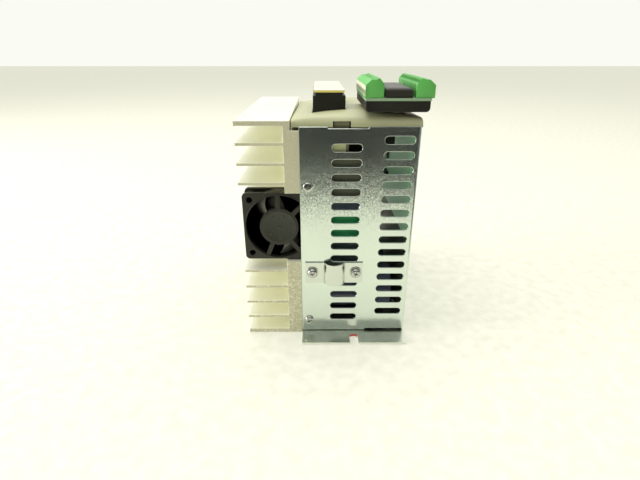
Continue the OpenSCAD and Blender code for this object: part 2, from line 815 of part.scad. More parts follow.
module io_tray() {
    module outline(inset) {
        x = [io_x[0] + inset, io_x[1] - inset];
        z = io_z + inset;
        r = tray_r - inset / 2;
        translate([x[0] + r, z]) square([x[1] - x[0] - 2 * r, tray_top - z]);
        translate([x[0], z + r]) square([x[1] - x[0], tray_top - z - r + (inset > 0 ? cut : 0)]);
        for (cx = [x[0] + r, x[1] - r]) translate([cx, z + r]) circle(r = r);
    }
    module extruded(inset) {
        translate([0, io_y[1] - inset, 0]) rotate([90, 0, 0])
            linear_extrude(io_y[1] - io_y[0] - 2 * inset) outline(inset);
    }
    color(black) difference() {
        extruded(0);
        extruded(tray_t);
        slab([dsub_x - dsub_flange[0] / 2 - 0.2, dsub_y - dsub_flange[1] / 2 - 0.2, io_z - cut],
             [dsub_x + dsub_flange[0] / 2 + 0.2, dsub_y + dsub_flange[1] / 2 + 0.2, io_z + tray_t + cut]);
    }
}

module io_board() {
    color(board_green) difference() {
        slab([io_x[0] - 0.2, io_y[0], tray_top], [io_x[1] + 0.4, io_y[1], block_z]);
        at_pins() translate([0, 0, tray_top - cut]) cylinder(r = dpin_r, h = pcb_t + 2 * cut);
    }
}

module at_io_poles() {
    for (i = [0 : io_poles - 1]) translate([0, io_y0 + i * io_pitch, block_z]) children();
}

module on_right_block() {
    translate([block_mirror_x, 0, 0]) mirror([1, 0, 0]) translate([-block_mirror_x, 0, 0]) children();
}

// The slanted screw face's own frame: +Z out of the face
module on_screw_face() {
    translate([io_screw_at[0], 0, io_screw_at[1]]) rotate([0, io_screw_tilt, 0]) children();
}

module terminal_block() {
    color(block_green) difference() {
        translate([0, io_y0 + (io_poles - 0.5) * io_pitch, block_z]) rotate([90, 0, 0])
            linear_extrude(io_poles * io_pitch) polygon(block_profile);
        at_io_poles() {
            translate([block_profile[0][0] - cut, -io_entry[0] / 2, io_entry_z - io_entry[1] / 2])
                cube([io_entry[2] + cut, io_entry[0], io_entry[1]]);
            on_screw_face() translate([0, 0, -2]) cylinder(r = io_screw_r, h = 4);
        }
    }
}

module io_block_left() {
    terminal_block();
}

module io_block_right() {
    on_right_block() terminal_block();
}

module terminal_screws() {
    at_io_poles() on_screw_face() translate([0, 0, -2]) difference() {
        cylinder(r = io_screw_r - 0.1, h = 1.4);
        translate([-io_screw_r, -0.25, 0.8]) cube([2 * io_screw_r, 0.5, 1]);
    }
}

module io_screws() {
    color(steel) {
        terminal_screws();
        on_right_block() terminal_screws();
    }
}

module terminal_clamps() {
    wall = 0.5;
    at_io_poles() translate([block_profile[0][0] + 0.8, -io_entry[0] / 2, io_entry_z - io_entry[1] / 2])
        difference() {
            cube([io_entry[2] - 1, io_entry[0], io_entry[1]]);
            translate([-cut, wall, wall])
                cube([io_entry[2] + cut, io_entry[0] - 2 * wall, io_entry[1] - 2 * wall]);
        }
}

module io_clamps() {
    color(steel) {
        terminal_clamps();
        on_right_block() terminal_clamps();
    }
}

module io_connector_shell() {
    color(steel) {
        difference() {
            flange_plate(dsub_plug_z[1], 1.6);
            translate([dsub_x, dsub_y, dsub_plug_z[1] - cut])
                linear_extrude(1 + 2 * cut) d_outline(plug_core);
        }
        d_tube(dsub_shell, shell_t, dsub_plug_z[0], dsub_plug_z[1] + eps);
    }
}

module io_connector_body() {
    color(black) difference() {
        union() {
            translate([dsub_x, dsub_y, dsub_face_z + 0.6])
                linear_extrude(dsub_plug_z[1] + 1 - dsub_face_z - 0.6) d_outline(plug_core);
            slab([dsub_x - 5.4, dsub_y - 13.5, dsub_plug_z[1] + 1], [dsub_x + 5.4, dsub_y + 13.5, tray_top]);
        }
        at_pins() translate([0, 0, dsub_face_z]) cylinder(r = dpin_r, h = 10);
    }
}

module io_pins() {
    color([0.85, 0.70, 0.35]) at_pins() translate([0, 0, dsub_plug_z[0] + 0.6])
        cylinder(r = dpin_r, h = block_z - dsub_plug_z[0] - 0.6);
}

// Rounded cover over the connector's solder side
module io_cap() {
    color(black) difference() {
        intersection() {
            translate([0, cap_y[1], 0]) rotate([90, 0, 0]) linear_extrude(cap_y[1] - cap_y[0])
                cap_arch(cap_x[0], cap_x[1]);
            translate([cap_x[0], 0, 0]) rotate([90, 0, 90]) linear_extrude(cap_x[1] - cap_x[0])
                cap_arch(cap_y[0], cap_y[1]);
        }
        slab([cap_x[0] + 1.5, cap_y[0] + 1.5, block_z - cut],
             [cap_x[1] - 1.5, cap_y[1] - 1.5, block_z + cap_h - 1.6]);
    }
}

module cap_arch(low, high) {
    translate([low, block_z]) square([high - low, cap_h - cap_r]);
    translate([low + cap_r, block_z]) square([high - low - 2 * cap_r, cap_h]);
    for (at = [low + cap_r, high - cap_r]) translate([at, block_z + cap_h - cap_r]) circle(r = cap_r);
}

// ---------- Boards and components ----------

module power_board() {
    color(board_green) difference() {
        slab([pcb_x, pcb_y[0], pcb_z[0]], [pcb_face, pcb_y[1], pcb_z[1]]);
        for (at = standoff_at) translate([pcb_x - cut, at[0], at[1]])
            facing_right() cylinder(r = m3, h = pcb_t + 2 * cut);
    }
}

module board_standoffs() {
    color([0.80, 0.65, 0.35]) for (at = standoff_at) translate([-half_w, at[0], at[1]]) facing_right() {
        difference() {
            cylinder(r = 3, h = pcb_x + half_w, $fn = 6);
            translate([0, 0, 6]) cylinder(r = m3, h = pcb_x + half_w);
        }
        translate([0, 0, -6]) cylinder(r = m3, h = 6 + eps);
    }
}

module board_screws() {
    color(steel) for (at = standoff_at) translate([pcb_face, at[0], at[1]])
        facing_right() screw(m3_head_r, m3_head_h, m3, 7);
}

module thermal_pad() {
    color([0.85, 0.85, 0.80]) difference() {
        slab([-half_w, module_y[0], module_z[0]], [-half_w + pad_t, module_y[1], module_z[1]]);
        for (y = module_screw_y) translate([-half_w - cut, y, module_mid_z])
            facing_right() cylinder(r = m3, h = pad_t + 2 * cut);
    }
}

module power_module() {
    ear = 8;
    ear_t = 3;
    low = -half_w + pad_t;
    color([0.18, 0.18, 0.20]) difference() {
        union() {
            slab([low, module_y[0], module_z[0]], [low + ear_t, module_y[1], module_z[1]]);
            slab([low, module_y[0] + ear, module_z[0]], [pcb_x, module_y[1] - ear, module_z[1]]);
        }
        for (y = module_screw_y) translate([low - cut, y, module_mid_z])
            facing_right() cylinder(r = m3, h = ear_t + 2 * cut);
    }
}

module module_screws() {
    color(steel) for (y = module_screw_y) translate([-half_w + pad_t + 3, y, module_mid_z])
        facing_right() screw(m3_head_r, m3_head_h, m3, 8);
}

module bus_capacitors() {
    groove = 0.8;
    color([0.16, 0.18, 0.38]) for (y = cap_can_y) translate([pcb_face, y, cap_can_z]) facing_right()
        difference() {
            cylinder(r = cap_can_r, h = cap_can_l);
            translate([0, 0, 5]) tube(cap_can_r + cut, cap_can_r - groove, 1.6);
        }
}

// E-core transformer: two ferrite legs round a taped winding
module transformer_core() {
    leg = 4;
    color([0.25, 0.25, 0.26]) difference() {
        slab([trafo_x[0], trafo_y[0], trafo_z[0]], [trafo_x[1], trafo_y[1], trafo_z[1]]);
        slab([trafo_x[0] - cut, trafo_y[0] + leg, trafo_z[0] + leg],
             [trafo_x[1] + cut, trafo_y[1] - leg, trafo_z[1] - leg]);
    }
}

module transformer_winding() {
    leg = 4;
    color([0.85, 0.80, 0.50]) {
        slab([pcb_face + 2, trafo_y[0] + leg, trafo_z[0] + leg],
             [trafo_x[1] + 6, trafo_y[1] - leg, trafo_z[1] - leg]);
        slab([pcb_face, trafo_y[0] + leg + 3, trafo_z[0] + leg + 3],
             [pcb_face + 2 + eps, trafo_y[1] - leg - 3, trafo_z[1] - leg - 3]);
    }
}

module at_choke() {
    translate([pcb_face + 9, choke_y, choke_z]) facing_right() children();
}

module choke_core() {
    color([0.30, 0.45, 0.30]) at_choke() rotate_extrude($fn = 64) translate([choke_r - 4, -4]) square([8, 8]);
}

module choke_winding() {
    color([0.72, 0.40, 0.20]) at_choke() for (start = [20, 200]) rotate(start)
        rotate_extrude(angle = 140, $fn = 64) difference() {
            translate([choke_r - 4 - choke_wire, -4 - choke_wire])
                square([8 + 2 * choke_wire, 8 + 2 * choke_wire]);
            translate([choke_r - 4, -4]) square([8, 8]);
        }
    color([0.72, 0.40, 0.20]) for (side = [-1, 1]) translate([pcb_face, choke_y + side * 15.5, choke_z])
        facing_right() cylinder(r = choke_wire / 2, h = 3 + eps);
}

module relay() {
    color(black) slab([pcb_face, relay_y[0], relay_z[0]], [pcb_face + relay_l, relay_y[1], relay_z[1]]);
}

module fuse() {
    color([0.85, 0.87, 0.85]) translate([fuse_x, fuse_y + 20, fuse_z])
        rotate([90, 0, 0]) cylinder(r = fuse_r, h = 20);
}

module fuse_clips() {
    color([0.80, 0.76, 0.60]) for (y = [fuse_y, fuse_y + 15]) difference() {
        slab([pcb_face, y, fuse_z - 3.4], [fuse_x + 1.6, y + 5, fuse_z + 3.4]);
        translate([fuse_x, y + 5 + cut, fuse_z]) rotate([90, 0, 0]) cylinder(r = fuse_r, h = 5 + 2 * cut);
        slab([pcb_face + 1, y - cut, fuse_z - 2.4], [fuse_x + 2, y + 5 + cut, fuse_z + 2.4]);
    }
}

module gate_board() {
    color([0.05, 0.50, 0.24]) slab([pcb_face, gate_y, 79], [7, gate_y + pcb_t, 99]);
}

module control_board() {
    color(board_green) slab([control_x, control_y[0], control_z[0]],
                            [control_x + pcb_t, control_y[1], control_z[1]]);
}

module control_chips() {
    color(black) for (c = chips) slab([control_x - 1.6, c[0] - c[2] / 2, c[1] - c[3] / 2],
                                      [control_x, c[0] + c[2] / 2, c[1] + c[3] / 2]);
}

// Flat cable from the power board across to the control board
module ribbon_cable() {
    x0 = pcb_face + socket_h;
    x1 = control_x - socket_h;
    bend_x = x0 + ribbon_rise;
    top_z = ribbon_z + ribbon_rise;
    color([0.55, 0.56, 0.58]) {
        slab([x0, ribbon_y[0], ribbon_z], [bend_x, ribbon_y[1], ribbon_z + ribbon_t]);
        slab([bend_x - ribbon_t, ribbon_y[0], ribbon_z], [bend_x, ribbon_y[1], top_z + ribbon_t]);
        slab([bend_x - ribbon_t, ribbon_y[0], top_z], [x1, ribbon_y[1], top_z + ribbon_t]);
    }
}

module ribbon_sockets() {
    color(black) {
        for (side = [[pcb_face, ribbon_z - 3], [control_x - socket_h, ribbon_z + ribbon_rise - 3]])
            slab([side[0], ribbon_y[0] - 2, side[1]], [side[0] + socket_h, ribbon_y[1] + 2, side[1] + 7]);
    }
}

// Folded insulating sheet on the chassis floor and up the side wall
module insulating_liner() {
    color(black) difference() {
        union() {
            slab([liner_x[0], -liner_y, chassis_t], [liner_x[1], liner_y, chassis_t + liner_t]);
            slab([liner_x[1] - liner_t, -liner_y, chassis_t], [liner_x[1], liner_y, liner_top]);
        }
        for (y = side_screw_y) translate([liner_x[1] - liner_t - cut, y, side_screw_z])
            facing_right() cylinder(r = m4 + 1, h = liner_t + 2 * cut);
    }
}

chassis();
vent_cover();
cover_screws();
heatsink();
chassis_screws();
shield_clamp();
clamp_washers();
clamp_screws();
clamp_nuts();
fan_frame();
fan_screws();
fan_bearings();
fan_stator();
fan_coils();
fan_board();
fan_lead();
fan_rotor();
fan_magnet();
fan_shaft();
hood();
inner_frame();
frame_screws();
power_header();
header_pins();
power_plug();
plug_screws();
plug_cover();
front_connector();
front_connector_shell();
jack_posts();
io_tray();
io_board();
io_block_left();
io_block_right();
io_screws();
io_clamps();
io_connector_shell();
io_connector_body();
io_pins();
io_cap();
power_board();
board_standoffs();
board_screws();
power_module();
thermal_pad();
module_screws();
bus_capacitors();
transformer_core();
transformer_winding();
choke_core();
choke_winding();
relay();
fuse();
fuse_clips();
gate_board();
control_board();
control_chips();
ribbon_cable();
ribbon_sockets();
insulating_liner();
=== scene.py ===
import json
import math

import bmesh
import bpy
from mathutils import Matrix, Vector

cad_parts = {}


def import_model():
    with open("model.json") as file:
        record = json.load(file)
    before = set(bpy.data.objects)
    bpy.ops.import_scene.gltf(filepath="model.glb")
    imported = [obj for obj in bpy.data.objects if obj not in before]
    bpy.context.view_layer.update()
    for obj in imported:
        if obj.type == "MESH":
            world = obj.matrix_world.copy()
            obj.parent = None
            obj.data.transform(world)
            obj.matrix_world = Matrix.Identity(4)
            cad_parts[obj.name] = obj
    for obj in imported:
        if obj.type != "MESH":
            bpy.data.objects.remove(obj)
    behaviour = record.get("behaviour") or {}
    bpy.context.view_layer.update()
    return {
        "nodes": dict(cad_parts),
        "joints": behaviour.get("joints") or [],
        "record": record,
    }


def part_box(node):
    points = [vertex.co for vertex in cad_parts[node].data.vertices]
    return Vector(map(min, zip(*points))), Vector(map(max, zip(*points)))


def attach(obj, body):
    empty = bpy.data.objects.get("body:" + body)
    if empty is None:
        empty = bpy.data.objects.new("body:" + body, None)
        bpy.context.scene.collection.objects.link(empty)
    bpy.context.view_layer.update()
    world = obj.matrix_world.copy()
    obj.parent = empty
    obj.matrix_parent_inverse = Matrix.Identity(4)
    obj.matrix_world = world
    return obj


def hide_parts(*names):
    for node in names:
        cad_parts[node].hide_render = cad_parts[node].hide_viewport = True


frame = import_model()
nodes = frame["nodes"]
record = frame["record"]
joints = {j["name"]: j for j in frame["joints"]}
slot_of = {part["node"]: part["material_slot"] for part in record["subparts"]}

# Shapes are drawn in millimetres. The frame, the lights and the camera are in metres.
MM = 0.001
X = Vector((1, 0, 0))
Y = Vector((0, 1, 0))
QUARTER_TURN = math.pi / 2


# ---------- Materials ----------

# Where the Mix node keeps its sockets for colours.
MIX_FACTOR, MIX_A, MIX_B, MIX_RESULT = 0, 6, 7, 2


def feed(tree, socket, value):
    """Links a socket to the one given, or sets its value. A colour is given as red, green and blue."""
    if isinstance(value, bpy.types.NodeSocket):
        tree.links.new(value, socket)
    elif socket.type == "RGBA":
        socket.default_value = (*value, 1)
    else:
        socket.default_value = value


def add_node(tree, kind, inputs, **settings):
    made = tree.nodes.new(kind)
    for key, value in settings.items():
        setattr(made, key, value)
    for key, value in inputs.items():
        feed(tree, made.inputs[key], value)
    return made


class Look:
    """A procedural material while it is made. Sizes are in millimetres, and a method returns a socket."""

    def __init__(self, name):
        self.material = bpy.data.materials.new(name)
        self.material.use_nodes = True
        self.tree = self.material.node_tree
        self.shader = self.tree.nodes["Principled BSDF"]
        self.place = self.node("ShaderNodeTexCoord", {}).outputs["Object"]

    def node(self, kind, inputs, **settings):
        return add_node(self.tree, kind, inputs, **settings)

    def scaled(self, size, stretch):
        scale = [1 / (size * MM * s) for s in stretch]
        return self.node("ShaderNodeMapping", {"Vector": self.place, "Scale": scale}).outputs[0]

    def noise(self, size, stretch=(1, 1, 1), detail=3.0):
        """Soft noise, 0 to 1, with spots about size across, drawn out along an axis by stretch."""
        inputs = {"Vector": self.scaled(size, stretch), "Scale": 1.0, "Detail": detail}
        return self.node("ShaderNodeTexNoise", inputs).outputs["Fac"]

    def mosaic(self, size, stretch=(1, 1, 1)):
        """A random colour for each cell of a crystal-like pattern."""
        inputs = {"Vector": self.scaled(size, stretch), "Scale": 1.0}
        return self.node("ShaderNodeTexVoronoi", inputs).outputs["Color"]

    def cells(self, size, stretch=(1, 1, 1)):
        """A random shade, 0 to 1, for each cell of a crystal-like pattern."""
        colour = self.mosaic(size, stretch)
        return self.node("ShaderNodeSeparateColor", {"Color": colour}).outputs["Red"]

    def ramp(self, value, low, high, start=0.3, end=0.7):
        """Goes from low to high as the value goes from start to end."""
        inputs = {"Value": value, "From Min": start, "From Max": end, "To Min": low, "To Max": high}
        return self.node("ShaderNodeMapRange", inputs).outputs["Result"]

    def sum(self, a, b, share=1.0):
        """a plus share times b"""
        inputs = {0: b, 1: share, 2: a}
        return self.node("ShaderNodeMath", inputs, operation="MULTIPLY_ADD").outputs[0]

    def times(self, a, b):
        return self.node("ShaderNodeMath", {0: a, 1: b}, operation="MULTIPLY").outputs[0]

    def vector(self, operation, inputs):
        return self.node("ShaderNodeVectorMath", inputs, operation=operation).outputs[0]

    def mix(self, factor, a, b):
        inputs = {MIX_FACTOR: factor, MIX_A: a, MIX_B: b}
        return self.node("ShaderNodeMix", inputs, data_type="RGBA").outputs[MIX_RESULT]

    def edges(self, width):
        """1 on sharp edges, 0 on flats: where the surface turns within width."""
        rounded = self.node("ShaderNodeBevel", {"Radius": width * MM}, samples=4).outputs[0]
        normal = self.node("ShaderNodeNewGeometry", {}).outputs["Normal"]
        turn = self.node("ShaderNodeVectorMath", {0: rounded, 1: normal}, operation="DOT_PRODUCT")
        return self.ramp(turn.outputs["Value"], 1, 0, 0.75, 0.97)

    def worn(self, base, width, share, colour):
        """The base with a share of another colour on its sharp edges."""
        return self.mix(self.ramp(self.edges(width), 0, share, 0, 1), base, colour)

    def facing(self, axis):
        """How squarely the surface faces along one axis, 0 to 1, to either side."""
        normal = self.node("ShaderNodeNewGeometry", {}).outputs["True Normal"]
        part = self.node("ShaderNodeSeparateXYZ", {"Vector": normal}).outputs[axis]
        size = self.node("ShaderNodeMath", {0: part}, operation="ABSOLUTE").outputs[0]
        return self.ramp(size, 0, 1, 0.8, 0.95)

    def bump(self, height, depth, below=None):
        """Relief of the given depth, laid over the relief below."""
        inputs = {"Height": height, "Distance": depth * MM, "Strength": 1.0}
        if below is not None:
            inputs["Normal"] = below
        return self.node("ShaderNodeBump", inputs).outputs["Normal"]

    def crystals(self, size, lean):
        """A normal that leans a little differently in each crystal of about the given size."""
        random = self.mosaic(size)
        normal = self.node("ShaderNodeNewGeometry", {}).outputs["Normal"]
        centred = self.vector("SUBTRACT", {0: random, 1: (0.5, 0.5, 0.5)})
        leaning = self.vector("MULTIPLY_ADD", {0: centred, 1: (lean, lean, lean), 2: normal})
        return self.vector("NORMALIZE", {0: leaning})

    def done(self, **sockets):
        """Sets the shader's sockets and returns the material."""
        for key, value in sockets.items():
            feed(self.tree, self.shader.inputs[key.replace("_", " ")], value)
        return self.material


def shades(colour, spread):
    """The colour a little darker and a little lighter."""
    return tuple(c * (1 - spread) for c in colour), tuple(min(1, c * (1 + spread)) for c in colour)


def zinc(name, colour, rough, lean):
    """Zinc-plated sheet: faint clouds, a fine spangle of leaning crystals, and near-white edges that are
    partly wear and partly painted highlight.
    """
    dull = (0.42, 0.46, 0.40)
    rubbed = (0.98, 0.99, 0.95)
    look = Look(name)
    dark, light = shades(colour, 0.03)
    cloud = look.noise(26, detail=2)
    fine = look.noise(0.5, detail=2)
    base = look.mix(look.ramp(cloud, 0, 1), dark, light)
    base = look.mix(look.ramp(fine, 0.06, 0, 0.35, 0.5), base, dull)
    # The near-white colour on the sharp edges is partly rubbed wear and partly a painted highlight along the
    # rims.
    base = look.worn(base, 0.3, 0.85, rubbed)
    gloss = look.sum(look.ramp(fine, rough - 0.02, rough + 0.04), look.ramp(cloud, 0, 0.02))
    relief = look.bump(look.noise(60, detail=1), 0.05, look.crystals(0.6, lean))
    return look.done(Base_Color=base, Metallic=1.0, Roughness=gloss, Normal=relief)


def steel(name, colour, rough):
    """Plated small parts: cloudy tone, light edges."""
    rubbed = (0.9, 0.9, 0.87)
    look = Look(name)
    dark, light = shades(colour, 0.12)
    base = look.mix(look.ramp(look.noise(1.6), 0, 1), dark, light)
    base = look.worn(base, 0.15, 0.5, rubbed)
    fine = look.noise(0.25)
    gloss = look.ramp(fine, rough - 0.07, rough + 0.1)
    return look.done(Base_Color=base, Metallic=1.0, Roughness=gloss, Normal=look.bump(fine, 0.006))


def extrusion(name, colour):
    """Extruded aluminium, dull and pale: die lines along Y, and saw marks on the two cut ends.

    The saw marks are plainest on the lowest 40 mm and fade up to 120 mm."""
    cut_pale = (0.72, 0.705, 0.52)
    cut_dark = (0.52, 0.49, 0.33)
    cut_glint = (0.96, 0.94, 0.76)
    rubbed = (0.97, 0.96, 0.88)
    look = Look(name)
    dark, light = shades(colour, 0.04)
    lines = look.noise(0.5, stretch=(1, 160, 1), detail=4)
    cloud = look.noise(30, stretch=(1, 3, 1), detail=2)
    saw = look.noise(0.55, stretch=(2.2, 1, 1), detail=2)
    pits = look.cells(0.9)
    end = look.facing("Y")
    height = look.node("ShaderNodeSeparateXYZ", {"Vector": look.place}).outputs["Z"]
    coarse = look.ramp(height, 1.0, 0.25, 0.04, 0.12)
    side = look.mix(look.ramp(cloud, 0, 1), dark, light)
    side = look.mix(look.ramp(lines, 0, 0.2), side, light)
    cut = look.mix(look.times(look.ramp(saw, 0, 1), coarse), cut_pale, cut_dark)
    cut = look.mix(look.times(look.ramp(pits, 0, 0.8, 0.5, 1), coarse), cut, cut_glint)
    base = look.worn(look.mix(end, side, cut), 0.3, 0.3, rubbed)
    gloss = look.sum(look.ramp(lines, 0.42, 0.54), end, 0.1)
    marks = look.times(look.times(look.sum(saw, pits, 0.5), end), coarse)
    relief = look.bump(look.sum(look.times(lines, 0.2), marks), 0.03)
    return look.done(Base_Color=base, Metallic=0.45, Roughness=gloss, Normal=relief)


def plastic(name, colour, rough, texture=0.35, relief=0.012, spread=0.08, shine=0.5):
    """Moulded plastic: a fine spark-eroded texture, uneven tone and rubbed edges."""
    look = Look(name)
    dark, light = shades(colour, spread)
    rubbed = tuple(c + (1 - c) * 0.18 for c in colour)
    grain = look.noise(texture, detail=2)
    cloud = look.noise(14, detail=3)
    base = look.mix(look.ramp(cloud, 0, 1), dark, light)
    base = look.mix(look.ramp(grain, 0, 0.2), base, light)
    base = look.worn(base, 0.25, 0.5, rubbed)
    gloss = look.ramp(look.sum(grain, cloud, 0.6), rough - 0.06, rough + 0.08, 0.5, 1.1)
    normal = look.bump(grain, relief)
    return look.done(Base_Color=base, Roughness=gloss, Specular_IOR_Level=shine, Normal=normal)


def board(name, colour, rough, tracks_share, through=0.0):
    """Glass-fibre board under solder mask: weave, and tracks that show through.

    A pale board's faint glow is painted light: an emission that stands in for light let into the board from
    behind."""
    bare = (0.42, 0.56, 0.38)
    look = Look(name)
    dark, light = shades(colour, 0.10)
    weave = look.noise(0.4, stretch=(1, 4, 1), detail=1)
    tracks = look.cells(2.4, stretch=(1, 3, 1))
    base = look.mix(look.ramp(weave, 0, 1), dark, light)
    base = look.mix(look.ramp(tracks, 0, tracks_share, 0.55, 0.62), base, shades(colour, 0.35)[1])
    base = look.worn(base, 0.2, 0.5, bare)
    gloss = look.ramp(weave, rough - 0.05, rough + 0.05)
    # The emission is a painted glow, standing in for light reaching the board from behind.
    return look.done(Base_Color=base, Roughness=gloss, Emission_Color=base, Emission_Strength=through,
                     Normal=look.bump(weave, 0.004))


def wire(name, colour, rough, metal):
    """Enamelled or coated winding, with streaks."""
    look = Look(name)
    dark, light = shades(colour, 0.18)
    streak = look.noise(0.8, detail=4)
    base = look.mix(look.ramp(streak, 0, 1), dark, light)
    gloss = look.ramp(streak, rough - 0.05, rough + 0.1)
    return look.done(Base_Color=base, Metallic=metal, Roughness=gloss, Coat_Weight=0.3,
                     Normal=look.bump(streak, 0.01))


def glass(name):
    """Clear glass with a faint haze."""
    look = Look(name)
    haze = look.noise(3)
    base = look.mix(look.ramp(haze, 0, 1), (0.85, 0.88, 0.86), (0.97, 0.98, 0.97))
    gloss = look.ramp(haze, 0.04, 0.12)
    return look.done(Base_Color=base, Roughness=gloss, Transmission_Weight=0.8, IOR=1.5)


def strip(name, top, side):
    """Yellow plastic strip: yellow sides, and a paler near-white top that is a painted highlight where the
    top is lit.
    """
    look = Look(name)
    cloud = look.noise(5, detail=2)
    face = look.mix(look.ramp(cloud, 0, 1), shades(top, 0.04)[0], top)
    # Faces turned up get the paler colour: a painted highlight for the lit top.
    base = look.mix(look.facing("Z"), side, face)
    return look.done(Base_Color=base, Roughness=look.ramp(cloud, 0.30, 0.42), Normal=look.bump(cloud, 0.02))


LOOKS = {
    "zinc_sheet": zinc("zinc_sheet", (0.70, 0.78, 0.705), 0.17, 0.062),
    "chassis_zinc": zinc("chassis_zinc", (0.80, 0.84, 0.72), 0.26, 0.05),
    "bright_zinc": zinc("bright_zinc", (0.64, 0.69, 0.62), 0.08, 0.02),
    "screw_steel": steel("screw_steel", (0.50, 0.52, 0.48), 0.12),
    "sink_aluminium": extrusion("sink_aluminium", (0.905, 0.905, 0.755)),
    "fan_black": plastic("fan_black", (0.031, 0.031, 0.022), 0.36, relief=0.008, spread=0.15, shine=0.35),
    "fan_wheel": plastic("fan_wheel", (0.10, 0.10, 0.082), 0.22, relief=0.003, spread=0.15, shine=0.6),
    "fan_hub": plastic("fan_hub", (0.040, 0.042, 0.028), 0.42, relief=0.006, spread=0.10, shine=0.4),
    "magnet": steel("magnet", (0.16, 0.16, 0.17), 0.5),
    "copper": wire("copper", (0.62, 0.26, 0.10), 0.28, 1.0),
    "lead_red": plastic("lead_red", (0.55, 0.03, 0.02), 0.4),
    "board_green": board("board_green", (0.030, 0.42, 0.16), 0.5, 0.3),
    # board_pale's last number, 0.08, is the strength of its painted glow.
    "board_pale": board("board_pale", (0.52, 0.93, 0.58), 0.38, 0.05, 0.08),
    "board_edge": board("board_edge", (0.30, 0.44, 0.27), 0.45, 0.1),
    "frame_beige": plastic("frame_beige", (0.20, 0.195, 0.115), 0.5, spread=0.05),
    "pad_beige": plastic("pad_beige", (0.62, 0.66, 0.37), 0.5, spread=0.05),
    "sheet_olive": plastic("sheet_olive", (0.105, 0.112, 0.070), 0.6, texture=0.8, spread=0.12),
    "hood_beige": plastic("hood_beige", (0.475, 0.485, 0.280), 0.45, texture=0.5, relief=0.02, spread=0.025,
                          shine=0.9),
    "connector_black": plastic("connector_black", (0.020, 0.020, 0.015), 0.42, spread=0.2, shine=0.35),
    # The strip's first, paler colour is a painted highlight on its top; the second is its yellow.
    "strip_yellow": strip("strip_yellow", (0.86, 0.86, 0.70), (0.88, 0.74, 0.20)),
    "terminal_green": plastic("terminal_green", (0.13, 0.50, 0.11), 0.38, texture=0.3, spread=0.05),
    "contact_tin": steel("contact_tin", (0.74, 0.71, 0.62), 0.3),
    "contact_gold": steel("contact_gold", (0.83, 0.62, 0.24), 0.25),
    "sleeve_blue": plastic("sleeve_blue", (0.15, 0.17, 0.26), 0.26, relief=0.004, spread=0.12),
    "ferrite": plastic("ferrite", (0.035, 0.035, 0.038), 0.55, texture=0.8, relief=0.03),
    "core_green": plastic("core_green", (0.06, 0.16, 0.07), 0.4, relief=0.02),
    "tape_yellow": plastic("tape_yellow", (0.50, 0.47, 0.24), 0.34, texture=0.8, relief=0.01),
    "fuse_glass": glass("fuse_glass"),
    "brass": steel("brass", (0.72, 0.55, 0.25), 0.28),
    "pad_grey": plastic("pad_grey", (0.55, 0.55, 0.52), 0.7, texture=0.9, relief=0.04),
    "ribbon_grey": plastic("ribbon_grey", (0.34, 0.35, 0.36), 0.42),
    "marker_cream": plastic("marker_cream", (0.74, 0.74, 0.58), 0.42, relief=0.006, spread=0.05),
    "liner_dark": plastic("liner_dark", (0.12, 0.14, 0.095), 0.45, spread=0.15),
    "cap_black": plastic("cap_black", (0.032, 0.032, 0.024), 0.34, spread=0.15),
    "can_aluminium": steel("can_aluminium", (0.72, 0.73, 0.72), 0.3),
    "mark_red": plastic("mark_red", (0.55, 0.05, 0.04), 0.5, relief=0.006, spread=0.1),
}
for name, node in nodes.items():
    node.data.materials[0] = LOOKS[slot_of[name]]

# Nodes that look different from the rest of their slot.
OWN_LOOKS = {
    "chassis": "chassis_zinc",
    "control_board": "board_pale",
    "io_board": "board_edge",
    "inner_frame": "frame_beige",
    "insulating_liner": "liner_dark",
    "io_cap": "cap_black",
}
for name, look in OWN_LOOKS.items():
    nodes[name].data.materials[0] = LOOKS[look]


# ---------- Mesh helpers ----------

SAME_POINT = 1e-6
FLAT_TURN = math.radians(0.3)
EDGE_TURN = math.radians(32)
AREA_WEIGHT = 80

# Stands an outline drawn in X and Y up in X and Z.
UPRIGHT = Matrix.Rotation(QUARTER_TURN, 4, "X")


def soften(node, width):
    """Rounds a CAD node's edges: the faces are joined, bevelled and shaded by their areas."""
    piece = nodes[node]
    piece.modifiers.new("join", "WELD").merge_threshold = SAME_POINT
    flat = piece.modifiers.new("flat", "DECIMATE")
    flat.decimate_type = "DISSOLVE"
    flat.angle_limit = FLAT_TURN
    bevel = piece.modifiers.new("round", "BEVEL")
    bevel.width = width * MM
    bevel.segments = 2
    bevel.limit_method = "ANGLE"
    bevel.angle_limit = EDGE_TURN
    bevel.use_clamp_overlap = False
    bevel.miter_outer = "MITER_ARC"
    shade_by_area(piece)


def shade_by_area(piece, keep_sharp=False):
    shade = piece.modifiers.new("shade", "WEIGHTED_NORMAL")
    shade.weight = AREA_WEIGHT
    shade.keep_sharp = keep_sharp


def slab(bm, low, high):
    """Adds a box and returns its vertices."""
    made = bmesh.ops.create_cube(bm, size=1)["verts"]
    low, high = Vector(low), Vector(high)
    bmesh.ops.scale(bm, vec=high - low, verts=made)
    bmesh.ops.translate(bm, vec=(low + high) / 2, verts=made)
    return made


def skin(bm, rings, closed=True):
    """Faces between rings of vertices. A ring of one vertex is a pole."""
    for a, b in zip(rings, rings[1:]):
        count = max(len(a), len(b))
        for i in range(count if closed else count - 1):
            corners = [a[i % len(a)], a[(i + 1) % len(a)], b[(i + 1) % len(b)], b[i % len(b)]]
            corners = list(dict.fromkeys(corners))
            if len(corners) > 2:
                bm.faces.new(corners)


def caps(bm, rings):
    """Faces across the first and the last ring."""
    bm.faces.new(list(reversed(rings[0])))
    bm.faces.new(rings[-1])


def turns(count):
    """Angles spaced evenly round a full turn."""
    return [2 * math.pi * i / count for i in range(count)]


